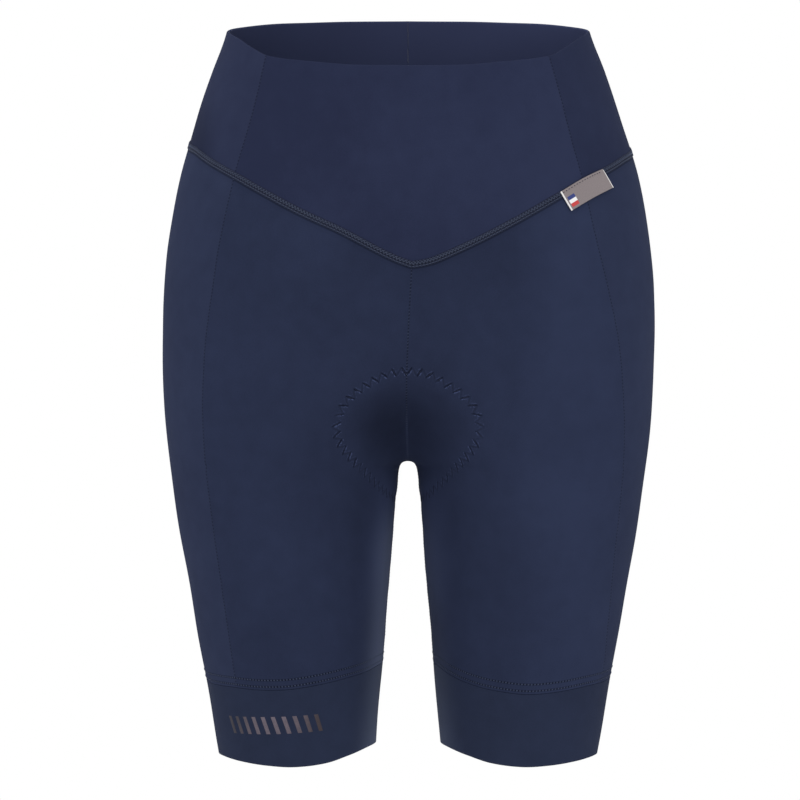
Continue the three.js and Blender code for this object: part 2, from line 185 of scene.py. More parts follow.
def section_point(cut, angle):
    """x and y of a section at an angle: 0 is the middle front, pi the side, 2 pi the
    middle back."""
    centre, radius, front, back, middle, power, _ = cut
    across, deep = np.cos(angle), np.sin(angle)
    soft_x = centre - radius * np.sign(across) * np.abs(across) ** (2 / power)
    depth = np.where(deep > 0, front, back)
    y = middle - depth * np.sign(deep) * np.abs(deep) ** (2 / power)
    return np.sqrt(np.maximum(soft_x ** 2 - CLEFT_SOFTNESS ** 2, 0)), y


RING_SAMPLES = 240


def ring_angle(start, share):
    """Angle at a share of the ring's samples, which crowd towards both its ends."""
    return start + (2 * np.pi - 2 * start) * share ** 2 * (3 - 2 * share)


def ring(height):
    """Running lengths of cloth along each height's section, one for each sample."""
    cut = [part[:, None] for part in section(height)]
    x, y = section_point(cut, ring_angle(cut[-1], np.linspace(0, 1, RING_SAMPLES + 1)))
    steps = np.hypot(np.diff(x, axis=1), np.diff(y, axis=1))
    return np.concatenate([np.zeros((len(height), 1)), np.cumsum(steps, axis=1)], axis=1)


girth_heights = np.arange(-545.0, 26.0)
girth_lengths = ring(girth_heights)


def girth(height):
    """Length of cloth from the middle front to the middle back on one side."""
    return np.interp(height, girth_heights, girth_lengths[:, -1])


def to_side(height):
    """Length of cloth from the middle front to the side line."""
    return np.interp(height, girth_heights, girth_lengths[:, RING_SAMPLES // 2])


POINTS_AT_ONCE = 20000


def surface(around, height):
    """Outer face of the form on the wearer's left, at a share of the way round by length
    of cloth. Returns points with x, y, z last."""
    around, height = np.broadcast_arrays(np.asarray(around, float), np.asarray(height, float))
    shape, around, height = around.shape, around.ravel(), height.ravel()
    points = np.empty((around.size, 3))
    for first in range(0, around.size, POINTS_AT_ONCE):
        part = slice(first, first + POINTS_AT_ONCE)
        z = height[part]
        lengths = ring(z)
        wanted = np.clip(around[part], 0, 1) * lengths[:, -1]
        rows = np.arange(len(z))
        at = np.clip((lengths <= wanted[:, None]).sum(1) - 1, 0, RING_SAMPLES - 1)
        t = (wanted - lengths[rows, at]) / np.maximum(
            lengths[rows, at + 1] - lengths[rows, at], 1e-9)
        cut = section(z)
        x, y = section_point(cut, ring_angle(cut[-1], (at + t) / RING_SAMPLES))
        points[part] = np.stack([x, y, z], axis=1)
    return points.reshape(shape + (3,))


def share_round(points):
    """The share of the way round at which points of the form lie, which undoes surface():
    their angle in the section, then the length of cloth up to it."""
    x, y, z = points.reshape(-1, 3).T
    centre, radius, front, back, middle, power, start = section(z)
    across = (centre - np.hypot(x, CLEFT_SOFTNESS)) / radius
    deep = (middle - y) / np.where(y < middle, front, back)
    angle = np.arctan2(np.sign(deep) * np.abs(deep) ** (power / 2),
                       np.sign(across) * np.abs(across) ** (power / 2)) % (2 * np.pi)
    part = np.clip((angle - start) / (2 * np.pi - 2 * start), 0, 1)
    sample = (0.5 - np.sin(np.arcsin(1 - 2 * part) / 3)) * RING_SAMPLES
    low = np.clip(sample.astype(int), 0, RING_SAMPLES - 1)
    lengths, rows = ring(z), np.arange(len(z))
    walked = lengths[rows, low] + (sample - low) * (lengths[rows, low + 1] - lengths[rows, low])
    return (walked / lengths[:, -1]).reshape(points.shape[:-1])


def depth_in(points):
    """Zero on the outer face, negative inside the form."""
    x, y, z = np.moveaxis(points, -1, 0)
    centre, radius, front, back, middle, power, _ = section(z)
    soft_x = np.hypot(x, CLEFT_SOFTNESS)
    depth = np.where(y < middle, front, back)
    return np.abs((soft_x - centre) / radius) ** power + np.abs((y - middle) / depth) ** power - 1


def gradient(points):
    """Central differences of depth_in."""
    steps = 0.05 * np.eye(3)
    return np.stack(
        [(depth_in(points + step) - depth_in(points - step)) / 0.1 for step in steps], axis=-1)


def unit(vectors):
    """Vectors scaled to a length of 1."""
    return vectors / np.maximum(np.linalg.norm(vectors, axis=-1, keepdims=True), 1e-12)


def outward(points):
    """Directions off the cloth: the gradient of the form, scaled to a length of 1."""
    return unit(gradient(points))


def onto_form(points):
    """Newton steps along the gradient until points lie on the outer face."""
    for _ in range(3):
        pull = gradient(points)
        points = points - pull * (depth_in(points) / (pull ** 2).sum(-1))[..., None]
    return points


def side_seam(height, side):
    """Share of the way round at which the front side seam lies."""
    column = 1 if side > 0 else 2
    return (to_side(height) - smooth_between(SIDE_SEAM, column, height)) / girth(height)


def yoke_seam(around, side):
    """Height of the yoke seam at a share of the way round."""
    return smooth_between(YOKE_SEAM, 1 if side > 0 else 2, around)


def cuff_seam(around, side):
    """Height of the cuff seam at a share of the way round the thigh."""
    return smooth_between(CUFF_SEAM, 1 if side > 0 else 2, around)


def middle_margin(height, at_back):
    """Length of cloth from the middle plane that leaves half a seam gap beside it."""
    cut = section(height)
    centre, radius, power, start = cut[0], cut[1], cut[5], cut[6]
    soft_x = np.hypot(SEAM_GAP / 2, CLEFT_SOFTNESS)
    angle = np.arccos(np.clip((centre - soft_x) / radius, 0, 1) ** (power / 2))
    sign = -1 if at_back else 1
    x, y = section_point(cut, sign * angle)
    edge_x, edge_y = section_point(cut, sign * start)
    margin = np.maximum(np.hypot(x - edge_x, y - edge_y), SEAM_GAP / 2)
    return np.where(height < CROTCH_HEIGHT, SEAM_GAP / 2, margin)


EDGE_STEPS = np.array([0, 0.12, 0.3, 0.55, 0.9, 1.5])


def places_across(count, crowd_start=1.0, crowd_end=1.0):
    """Columns of a panel as (share of its width, millimetres to add): close to each edge
    they follow EDGE_STEPS, and between they may crowd towards either edge."""
    t = np.linspace(0, 1, count + 1)[1:-1]
    t = t ** crowd_start
    t = 1 - (1 - t) ** crowd_end
    share = np.concatenate([np.zeros(len(EDGE_STEPS)), t, np.ones(len(EDGE_STEPS))])
    inset = EDGE_STEPS[-1] * (1 - 2 * t)
    return share, np.concatenate([EDGE_STEPS, inset, -EDGE_STEPS[::-1]])


def leg_rows(below, above):
    """Rows from the cuff seam up to the yoke seam, with one at the crotch height and
    crowded towards it near the middle plane."""
    low_t = np.linspace(0, 1, below + 1)[1:, None]
    high_t = np.linspace(0, 1, above + 1)[1:-1, None]
    edge = EDGE_STEPS[:, None]

    def blend(t, crowded):
        """t^1.7 where the rows are crowded and t where they are not."""
        return t ** 1.7 * crowded + t * (1 - crowded)

    def heights(low, high, around):
        """Heights of the rows, given both edges and the share round at each point."""
        crowded = 1 - eased(np.minimum(around, 1 - around), 0.03, 0.25)
        floor, roof = low + EDGE_STEPS[-1], high - EDGE_STEPS[-1]
        first, middle = len(EDGE_STEPS), len(EDGE_STEPS) + below
        fall = CROTCH_HEIGHT - (CROTCH_HEIGHT - floor[first:middle]) * blend(
            1 - low_t, crowded[first:middle])
        rise = CROTCH_HEIGHT + (roof[middle:-first] - CROTCH_HEIGHT) * blend(
            high_t, crowded[middle:-first])
        return np.concatenate([low[:first] + edge, fall, rise, high[-first:] - edge[::-1]])

    return heights, below + above - 1 + 2 * len(EDGE_STEPS)


def even_rows(count):
    """Rows evenly spaced from a panel's lower edge to its upper one, closer at each edge."""
    share, inset = places_across(count)

    def heights(low, high, around):
        """Heights of the rows, given both edges; the share round plays no part."""
        return low + (high - low) * share[:, None] + inset[:, None]

    return heights, len(share)


def panel_net(start, end, bottom, top, columns, rows):
    """Solves for the share round and the height of each grid point of a panel between two
    upright seams and two lines round the body, and returns them with each point's
    distance from the two upright edges and from the lower and upper edges."""
    share, inset = columns
    heights, row_count = rows
    around = np.full((row_count, len(share)), 0.5)
    for _ in range(14):
        low = bottom(around) + SEAM_GAP / 2
        high = top(around) - SEAM_GAP / 2
        height = heights(low, high, around)
        length = girth(height)
        left = 0.0 if start is None else start(height)
        right = 1.0 if end is None else end(height)
        left_margin = middle_margin(height, False) if start is None else SEAM_GAP / 2
        right_margin = middle_margin(height, True) if end is None else SEAM_GAP / 2
        first = left + left_margin / length
        last = right - right_margin / length
        around = first + (last - first) * share + inset / length
    edges = ((around - first) * length, (last - around) * length, height - low, high - height)
    return around, height, [np.maximum(edge, 0) for edge in edges]


# Soft creases that the stretched cloth keeps. s is millimetres behind the side line
# (negative in front), z is height. Columns: side, s from, z from, s to, z to, half width,
# rise (negative for a trough).
CREASES = np.array([
    [1, -205, -292, -120, -352, 9, -0.55],
    [-1, -212, -288, -128, -330, 10, -0.75],
    [1, -196, -316, -140, -398, 8, 0.40],
    [-1, -200, -318, -150, -410, 9, 0.45],
    [1, -60, -128, 10, -196, 16, 0.50],
    [-1, -52, -120, 22, -170, 15, 0.30],
    [-1, -20, -196, 40, -238, 18, -0.60],
    [1, -10, -222, 60, -250, 17, -0.55],
    [1, -110, -190, -60, -252, 20, 0.45],
    [-1, -120, -200, -70, -270, 22, 0.40],
    [1, 215, -262, 120, -318, 10, -0.80],
    [-1, 220, -258, 128, -326, 11, -0.70],
    [1, 190, -300, 96, -352, 9, 0.60],
    [-1, 196, -306, 104, -346, 9, 0.55],
    [1, 205, -112, 130, -128, 14, -0.50],
    [-1, 198, -104, 118, -132, 15, -0.55],
    [1, -84, -392, -30, -440, 12, -0.40],
    [-1, -96, -402, -40, -446, 12, -0.35],
    [1, 60, -398, 120, -442, 12, -0.45],
    [-1, 66, -404, 128, -438, 12, -0.50],
])


def crease_relief(base, around, side):
    """Sum over the creases of rise * exp(-(distance from the line / half width)^2), faded
    to nothing at both ends of each and at the middle plane."""
    height = base[..., 2]
    s = around * girth(height) - to_side(height)
    relief = np.zeros(s.shape)
    for _, s0, z0, s1, z1, half_width, rise in CREASES[CREASES[:, 0] == side]:
        length = math.hypot(s1 - s0, z1 - z0)
        run = ((s - s0) * (s1 - s0) + (height - z0) * (z1 - z0)) / length ** 2
        off = ((s - s0) * (z1 - z0) - (height - z0) * (s1 - s0)) / length
        bend = off - 0.08 * length * (4 * run * (1 - run) - 0.5)
        ends = eased(np.minimum(run, 1 - run), -0.15, 0.3)
        relief += rise * np.exp(-(bend / half_width) ** 2) * ends
    return relief * eased(base[..., 0], 0, 18)


def undulation(points):
    """Slow swells 60 to 140 mm long and under half a millimetre high."""
    x, y, z = np.moveaxis(points, -1, 0)
    return (0.22 * np.sin(x / 17 + z / 31 + 0.7) * np.sin(z / 21 - y / 27 + 1.9)
            + 0.16 * np.sin(x / 11 - z / 15 + y / 19)
            + 0.10 * np.sin(y / 9 + z / 12.5 + 0.4))


# The zigzag stitching that holds the seat pad, sewn through the panels. The crotch chart
# walks sideways from the crotch curve, which lies in the middle plane.
PAD_FRONT_HEIGHT = -239.0

# Columns: distance back from the pad's front end, half width, full thickness.
PAD = np.array([
    [0, 14, 1.2], [4, 26, 1.5], [9, 38, 1.9], [17, 50, 2.5], [28, 58, 3.2], [39, 59, 3.8],
    [53, 53.5, 4.4], [70, 45, 5], [90, 38.5, 5.6], [112, 35, 6.2], [138, 41, 7],
    [178, 65, 8], [218, 84, 8], [258, 86, 7], [298, 70, 5], [328, 46, 3], [344, 20, 1.4],
])
ZIGZAG_INSET = 3.0
ZIGZAG_PITCH = 7.2
ZIGZAG_HALF_WIDTH = 3.2


def crotch_point(share):
    """Point of the crotch curve, from share -1 at the front to 1 at the back: the section
    opens by that share at height rise * share^2 / (1 - share^8)^(1/4) above the crotch."""
    height = CROTCH_HEIGHT + CROTCH_RISE * share ** 2 / (1 - share ** 8) ** 0.25
    _, _, front, back, middle, _, _ = section(height)
    y = middle + share * np.where(share < 0, front, back)
    return np.stack([np.zeros(share.shape), y, height], axis=-1)


def walk(line):
    """Running length along a line of points."""
    return np.concatenate([[0], np.cumsum(np.linalg.norm(np.diff(line, axis=0), axis=1))])


crotch_shares = np.arange(-0.97, 0.999, 0.0005)
crotch_line = crotch_point(crotch_shares)
crotch_walk = walk(crotch_line)
pad_start = crotch_walk[np.argmax(crotch_line[:, 2] < PAD_FRONT_HEIGHT)]
CHART_STEP = 1.0
CHART_STEP_BACK = 2.0
chart_back = np.arange(-6, 352, CHART_STEP_BACK)
chart_sideways = np.arange(0, 96, CHART_STEP)


def walked_chart():
    """Outer face of the cloth at each distance back and sideways of the pad: each row
    walks off the middle plane, square to the crotch curve, and is pulled back onto the
    form after every step."""
    share = np.interp(pad_start + chart_back, crotch_walk, crotch_shares)
    tangent = unit(crotch_point(share + 0.0005) - crotch_point(share - 0.0005))
    point = crotch_point(share)
    heading = np.tile([1.0, 0, 0], (len(share), 1))
    rows = [point]
    for _ in chart_sideways[1:]:
        turned = unit(np.cross(tangent, outward(point)))
        turned *= np.sign((turned * heading).sum(-1, keepdims=True))
        heading = turned
        point = point + heading * CHART_STEP
        pull = gradient(point)
        pull -= tangent * (pull * tangent).sum(-1, keepdims=True)
        point = point - pull * (depth_in(point) / (pull ** 2).sum(-1))[:, None]
        rows.append(point)
    return np.stack(rows, axis=1)


crotch_chart = walked_chart()


def on_crotch(back, sideways):
    """The chart's surface point on the wearer's left, by straight lines between its rows."""
    i = np.clip((back - chart_back[0]) / CHART_STEP_BACK, 0, len(chart_back) - 1.001)
    j = np.clip(sideways / CHART_STEP, 0, len(chart_sideways) - 1.001)
    row, column = i.astype(int), j.astype(int)
    t, u = (i - row)[..., None], (j - column)[..., None]
    near = crotch_chart[row, column] * (1 - u) + crotch_chart[row, column + 1] * u
    far = crotch_chart[row + 1, column] * (1 - u) + crotch_chart[row + 1, column + 1] * u
    return near * (1 - t) + far * t


def zigzag_centre():
    """The zigzag's centre line on the wearer's left, from the middle front to the middle
    back: the pad's outline drawn in by the inset, laid on the form, at even steps. Returns
    its points, their running length and the directions out of the pad."""
    back = np.concatenate([np.zeros(12), np.linspace(0, 344, 600), np.full(12, 344.0)])
    width = smooth_between(PAD, 1, back)
    width[:12] *= np.linspace(0, 1, 12)
    width[-12:] *= np.linspace(1, 0, 12)
    line = np.stack([back, width], axis=1)
    line = line[np.concatenate([[True], np.linalg.norm(np.diff(line, axis=0), axis=1) > 1e-6])]
    along = np.gradient(line, axis=0)
    inward = unit(np.stack([along[:, 1], -along[:, 0]], axis=1))
    line = line + inward * ZIGZAG_INSET
    line = line[line[:, 1] > 0.8]
    line = np.concatenate([[[line[0, 0], 0]], line, [[line[-1, 0], 0]]])
    corners_cut = np.linspace(0, walk(line)[-1], 160)
    line = np.stack([np.interp(corners_cut, walk(line), line[:, k]) for k in (0, 1)], axis=1)
    placed = onto_form(on_crotch(line[:, 0], line[:, 1]))
    placed[[0, -1], 0] = 0
    teeth = round(walk(placed)[-1] / (ZIGZAG_PITCH / 2))
    even = np.linspace(0, walk(placed)[-1], teeth * 4 + 1)
    placed = np.stack([np.interp(even, walk(placed), placed[:, k]) for k in range(3)], axis=1)
    out = unit(np.cross(outward(placed), unit(np.gradient(placed, axis=0))))
    out[[0, -1], 0] = 0
    return placed, even, unit(out)


zigzag_points, zigzag_run, zigzag_out = zigzag_centre()
zigzag_tooth = 4 * zigzag_run[1]


def beside_zigzag(points):
    """Running length along the zigzag's centre line, and distance out of the pad from it."""
    flat = points.reshape(-1, 3)
    run, off = np.zeros(len(flat)), np.full(len(flat), 60.0)
    along = unit(np.gradient(zigzag_points, axis=0))
    low, high = zigzag_points.min(0) - 25, zigzag_points.max(0) + 25
    near = np.all((flat > low) & (flat < high), axis=1).nonzero()[0]
    for part in np.array_split(near, max(len(near) // 4000, 1)):
        step = flat[part, None, :] - zigzag_points[None, :, :]
        nearest = (step ** 2).sum(-1).argmin(axis=1)
        step = step[np.arange(len(part)), nearest]
        run[part] = zigzag_run[nearest] + (step * along[nearest]).sum(-1)
        outside = np.sign((step * zigzag_out[nearest]).sum(-1))
        across = step - along[nearest] * (step * along[nearest]).sum(-1, keepdims=True)
        off[part] = outside * np.linalg.norm(across, axis=-1)
    return run.reshape(points.shape[:-1]), off.reshape(points.shape[:-1])


def relief_at(base, around, side):
    """Height of the cloth's outer face above the form: creases, swells, the groove that
    the zigzag draws, and the fullness over the pad just inside it."""
    relief = crease_relief(base, around, side) + undulation(base * np.array([side, 1, 1]))
    _, off = beside_zigzag(base)
    swell = 0.3 * np.exp(-((off + 9) / 5) ** 2)
    return relief + swell - 0.3 * np.exp(-(off / 3.6) ** 2)


def pucker(along, distance):
    """Small gathers beside a stitched edge: a wave along the seam that dies away with
    distance from it."""
    wave = np.sin(along / 1.35) * 0.5 + np.sin(along / 2.9 + 1.1) + 0.8 * np.sin(along / 5.3 + 2.3)
    return 0.055 * wave * np.exp(-distance / 4.5)


def edge_round(distance, radius):
    """How far a cut edge rolls in: a quarter circle of the radius."""
    inside = np.clip(1 - distance / radius, 0, 1)
    return radius * (1 - np.sqrt(1 - inside ** 2))


def wandered(points):
    """Moves the cloth beside the centre front sideways with the wander of its seam, and
    the hips by 0.9 * exp(-((z + 120) / 75)^2), since the wearer stands on one leg more."""
    x, y, z = np.moveaxis(points, -1, 0)
    near = np.exp(-(x / 40) ** 2) * eased(-y, 0, 30)
    shift = smooth_between(FRONT_WANDER, 1, z) * near
    shift = shift + 0.9 * np.exp(-((z + 120) / 75) ** 2)
    return points + np.stack([shift, np.zeros(x.shape), np.zeros(x.shape)], axis=-1)


def make_mesh(name, points, faces):
    """A smooth mesh object from points in millimetres and rows of four corners."""
    mesh = bpy.data.meshes.new(name)
    mesh.vertices.add(len(points))
    mesh.vertices.foreach_set("co", (wandered(points) * MM).ravel())
    mesh.loops.add(faces.size)
    mesh.loops.foreach_set("vertex_index", faces.ravel().astype(np.int32))
    mesh.polygons.add(len(faces))
    mesh.polygons.foreach_set("loop_start", np.arange(0, faces.size, 4, dtype=np.int32))
    mesh.polygons.foreach_set("loop_total", np.full(len(faces), 4, dtype=np.int32))
    mesh.polygons.foreach_set("use_smooth", np.ones(len(faces), dtype=bool))
    mesh.update(calc_edges=True)
    mesh.validate()
    piece = bpy.data.objects.new(name, mesh)
    bpy.context.scene.collection.objects.link(piece)
    return piece


def shell_mesh(name, outer, inner, side, uv, closed_round=False, marks=None):
    """One closed wall between two grids of points in millimetres, rows upwards and columns
    round from the front, with a rim along every open edge. Each mark is a pair of numbers
    at every point, kept as a mesh attribute in metres; lining is 1 on the inner face."""
    rows, columns = outer.shape[:2]
    points = np.concatenate([outer.reshape(-1, 3), inner.reshape(-1, 3)])
    points = points * np.array([side, 1, 1])
    index = np.arange(rows * columns).reshape(rows, columns)
    if closed_round:
        index = np.concatenate([index, index[:, :1]], axis=1)
    a, b = index[:-1, :-1].ravel(), index[:-1, 1:].ravel()
    c, d = index[1:, 1:].ravel(), index[1:, :-1].ravel()
    inside = rows * columns
    face_sets = [np.stack([a, b, c, d], 1), np.stack([d, c, b, a], 1) + inside]
    open_edges = [index[0], index[-1][::-1]]
    if not closed_round:
        open_edges += [index[::-1, 0], index[:, -1]]
    for edge in open_edges:
        first, second = edge[:-1], edge[1:]
        face_sets.append(np.stack([first, first + inside, second + inside, second], 1))
    faces = np.concatenate(face_sets)
    if side < 0:
        faces = faces[:, ::-1]
    piece = make_mesh(name, points, faces)
    flat = np.tile(uv.reshape(-1, 2), (2, 1)) * MM
    layer = piece.data.uv_layers.new(name="cloth")
    layer.data.foreach_set("uv", flat[faces.ravel()].ravel())
    lining = piece.data.attributes.new("lining", "FLOAT", "POINT")
    lining.data.foreach_set("value", np.repeat([0.0, 1.0], inside))
    for mark, pair in (marks or {}).items():
        values = np.stack([pair[0].ravel(), pair[1].ravel(), np.zeros(inside)], axis=1) * MM
        attribute = piece.data.attributes.new(mark, "FLOAT_VECTOR", "POINT")
        attribute.data.foreach_set("vector", np.tile(values, (2, 1)).ravel())
    return piece


def middle_run(height, at_back):
    """Length along the middle seam at a height: along the crotch curve above the crotch,
    and straight down the inseam below it, counted from the crotch's lowest point."""
    half = crotch_line[:, 1] > crotch_line[np.argmin(crotch_line[:, 2]), 1]
    half = half if at_back else ~half
    up = np.abs(crotch_walk[half] - crotch_walk[np.argmin(crotch_line[:, 2])])
    order = np.argsort(up)
    top, heights = up[order][-1], crotch_line[half][order][:, 2]
    run = np.interp(height, heights, up[order])
    run = np.where(height > heights[-1], top + height - heights[-1], run)
    return np.where(height < CROTCH_HEIGHT, height - CROTCH_HEIGHT, run)


def cloth_panel(name, side, net, wall, start_middle=False, end_middle=False, open_top=False):
    """A panel of cloth: its outer face is the form plus its relief, with gathers and rolled
    edges where it is sewn; its inner face lies a wall inside. An open top edge is folded
    round instead. The marks tell its material where the needle went through."""
    around, height, (from_start, from_end, from_low, from_high) = net
    base = surface(around, height)
    normal = outward(base)
    s = around * girth(height) - to_side(height)
    nearer_end = from_end < from_start
    from_sides = np.minimum(from_start, from_end)
    start_run = middle_run(height, False) if start_middle else height
    end_run = middle_run(height, True) if end_middle else height
    run = np.where(nearer_end, end_run, start_run)
    relief = relief_at(base, around, side)
    relief = relief + pucker(height + 40 * side, from_sides) + pucker(s, from_low)
    roll = edge_round(from_sides, 0.12)
    folded = np.zeros(height.shape)
    if open_top:
        roll = np.maximum(roll, edge_round(from_low, 0.6))
        folded = edge_round(from_high, wall / 2)
    else:
        relief = relief + pucker(s, from_high)
        roll = np.maximum(roll, edge_round(np.minimum(from_low, from_high), 0.6))
    outer = base + normal * (relief - np.maximum(roll, folded))[..., None]
    inner = base + normal * (relief - wall + folded)[..., None]
    tilt = np.gradient(height[-1]) / np.maximum(np.abs(np.gradient(s[-1])), 0.01)
    marks = {
        "side_seams": (run, from_sides),
        "hem_seam": (s, from_low),
        "yoke_seam": (s, from_high / np.hypot(1, np.clip(tilt, -1, 1))),
        "pad_seam": beside_zigzag(base),
    }
    return shell_mesh(name, outer, inner, side, np.stack([s, height], -1), marks=marks)


class Wire:
    """An output socket of a node tree. Operators on wires and numbers add Math nodes."""

    def __init__(self, tree, socket):
        self.tree = tree
        self.socket = socket

    def math(self, operation, first, second=0.0):
        """A Math node of one or two inputs."""
        return self.tree.node(
            "ShaderNodeMath", {"operation": operation}, {0: first, 1: second}).out(0)

    def __add__(self, other):
        return self.math("ADD", self, other)

    def __sub__(self, other):
        return self.math("SUBTRACT", self, other)

    def __rsub__(self, other):
        return self.math("SUBTRACT", other, self)

    def __mul__(self, other):
        return self.math("MULTIPLY", self, other)

    __radd__ = __add__
    __rmul__ = __mul__

    def __abs__(self):
        return self.math("ABSOLUTE", self)

    def power(self, exponent):
        """The value to the power of the exponent."""
        return self.math("POWER", self, exponent)

    def sine(self):
        """The sine of the value, in radians."""
        return self.math("SINE", self)

    def pingpong(self, length):
        """Up from 0 to the length and back down, over and over."""
        return self.math("PINGPONG", self, length)

    def clamp(self):
        """The value held between 0 and 1."""
        return self.tree.node("ShaderNodeClamp", {}, {"Value": self}).out(0)

    def eased(self, low, high):
        """0 at low and 1 at high, eased at both ends."""
        settings = {"interpolation_type": "SMOOTHSTEP"}
        sockets = {"Value": self, "From Min": low, "From Max": high}
        return self.tree.node("ShaderNodeMapRange", settings, sockets).out(0)

    def near(self, place, reach):
        """1 at a place, falling as 1 - (distance / reach)^2 to 0 at the reach."""
        off = (self - place) * (1 / reach)
        return (1 - off * off).clamp()


class Node:
    """A node just made, from which outputs are taken as wires."""

    def __init__(self, tree, node):
        self.tree = tree
        self.made = node

    def out(self, name):
        """The output of that name."""
        return Wire(self.tree, self.made.outputs[name])


class Finish:
    """A material and its node tree, built through one method."""

    def __init__(self, name):
        self.material = bpy.data.materials.new(name)
        self.material.use_nodes = True
        self.nodes = self.material.node_tree.nodes
        self.links = self.material.node_tree.links
        self.nodes.clear()

    def node(self, kind, settings, sockets):
        """Adds a node, applies its settings, then its sockets' values or links."""
        made = self.nodes.new(kind)
        for key, value in settings.items():
            setattr(made, key, value)
        for key, value in sockets.items():
            if isinstance(value, Wire):
                self.links.new(value.socket, made.inputs[key])
            elif isinstance(value, tuple) and len(value) == 3 and len(
                    made.inputs[key].default_value) == 4:
                made.inputs[key].default_value = (*value, 1)
            else:
                made.inputs[key].default_value = value
        return Node(self, made)

    def mix(self, amount, first, second):
        """A colour between two colours."""
        return self.node("ShaderNodeMix", {"data_type": "RGBA"}, {
            0: amount, 6: first, 7: second}).out(2)

    def noise(self, vector, scale, detail=2.0):
        """Soft noise from 0 to 1."""
        return self.node("ShaderNodeTexNoise", {}, {
            "Vector": vector, "Scale": scale, "Detail": detail}).out("Fac")

    def parts(self, vector):
        """The three parts of a vector."""
        split = self.node("ShaderNodeSeparateXYZ", {}, {"Vector": vector})
        return split.out("X"), split.out("Y"), split.out("Z")

    def pair(self, vector):
        """The first two parts of a vector."""
        return self.parts(vector)[:2]

    def mark(self, name):
        """The pair of lengths kept in a mesh attribute."""
        return self.pair(self.node(
            "ShaderNodeAttribute", {"attribute_name": name}, {}).out("Vector"))

    def object_place(self):
        """The place on the object, in metres."""
        return self.node("ShaderNodeTexCoord", {}, {}).out("Object")

    def cloth_place(self):
        """The place on the cloth, in metres along it and up it."""
        return self.node("ShaderNodeUVMap", {"uv_map": "cloth"}, {}).out("UV")

    def bump(self, height, strength, distance):
        """A normal tilted by a relief."""
        return self.node("ShaderNodeBump", {}, {
            "Strength": strength, "Distance": distance, "Height": height}).out("Normal")

    def surface(self, **sockets):
        """The Principled surface, linked to the output."""
        names = {key.replace("_", " ").title(): value for key, value in sockets.items()}
        names = {key.replace("Ior", "IOR"): value for key, value in names.items()}
        shader = self.node("ShaderNodeBsdfPrincipled", {}, names)
        self.node("ShaderNodeOutputMaterial", {}, {"Surface": shader.out("BSDF")})
        return self.material


def srgb(red, green, blue):
    """Linear colour from 0 to 255 display values."""
    values = np.array([red, green, blue]) / 255
    return tuple(float(v) for v in np.where(
        values <= 0.04045, values / 12.92, ((values + 0.055) / 1.055) ** 2.4))


WALE = 0.00055
COURSE = 0.00048
SEAM_PITCH = 2.35
CUFF_PITCH = 2.3
CUFF_ROWS = (2.5, 7.2)


def scaled(colour, gain):
    """A colour times one gain, or times a gain for each of its parts."""
    return tuple((np.array(colour) * gain).tolist())


def needle_beat(run, pitch):
    """0 to 1 and back once a pitch along a seam: half of 1 + sin(2 pi run / pitch)."""
    return (run * (2 * math.pi / (pitch * MM))).sine() * 0.5 + 0.5


def sewn_sides(finish, colour, relief, light, deep, x, z):
    """Needle holes along the upright seams, pressed into the relief and darkened with painted
    shade. Where the seam runs through the crotch it stands proud: fewer holes show, beside a line
    of painted highlight."""
    run, off = finish.mark("side_seams")
    holes = needle_beat(run, SEAM_PITCH).power(2.0) * off.near(0.0, 0.0008)
    proud = abs(x).near(0.0, 0.004) * (1 - z.eased(-0.285, -0.262)) * z.eased(-0.309, -0.303)
    holes = holes * (1 - proud * 0.7)
    # Painted shade in the needle holes.
    colour = finish.mix(holes * 0.55, colour, deep)
    # Painted highlight along the proud seam through the crotch.
    colour = finish.mix(proud * off.near(0.0003, 0.0007) * 0.3, colour, scaled(light, 2.6))
    return colour, relief - holes * 1.5


def sewn_cuff(finish, colour, deep):
    """Twin rows of needle holes above the cuff seam and a dark line along the seam, both painted
    shade.
    """
    run, off = finish.mark("hem_seam")
    lines = off.near(CUFF_ROWS[0] * MM, 0.0010) + off.near(CUFF_ROWS[1] * MM, 0.0010)
    holes = needle_beat(run, CUFF_PITCH).power(1.3) * lines
    colour = finish.mix((holes * 0.9).clamp(), colour, deep)
    return finish.mix(off.near(0.0, 0.0006) * 0.3, colour, deep)


def sewn_yoke(finish, colour, deep):
    """Shade under the yoke seam: a thin dark line beside its band and a wide faint one."""
    _, off = finish.mark("yoke_seam")
    colour = finish.mix(off.near(0.0028, 0.0008) * 0.5, colour, deep)
    return finish.mix(off.near(0.0042, 0.0022) * 0.08, colour, deep)


def painted_thigh_light(finish, colour, light, rim_light_strength, x, z):
    """Painted light on the inner thighs, on a line that leans with the thigh: a soft lift of their
    shade lower down and a painted rim of reflected light along the edge, softer just under the
    crotch. The fourth argument is the rim's strength on the wearer's right and left."""
    thigh = 1 - (abs(x) + z * 0.083).eased(-0.021, 0.012)
    # Painted fill light where the thighs shade each other.
    painted_fill = thigh.power(2.0) * z.eased(-0.430, -0.370) * (1 - z.eased(-0.335, -0.275))
    colour = finish.mix(painted_fill * 0.8, colour, scaled(light, 2.2))
    # Painted rim of reflected light along the inner edge.
    rim = thigh.power(4.0) * (1 - z.eased(-0.375, -0.325))
    rim = rim * (x.eased(-0.005, 0.005) * (rim_light_strength[1] - rim_light_strength[0]) + rim_light_strength[0])
    return finish.mix(rim, colour, scaled(light, (4.6, 4.2, 3.2)))


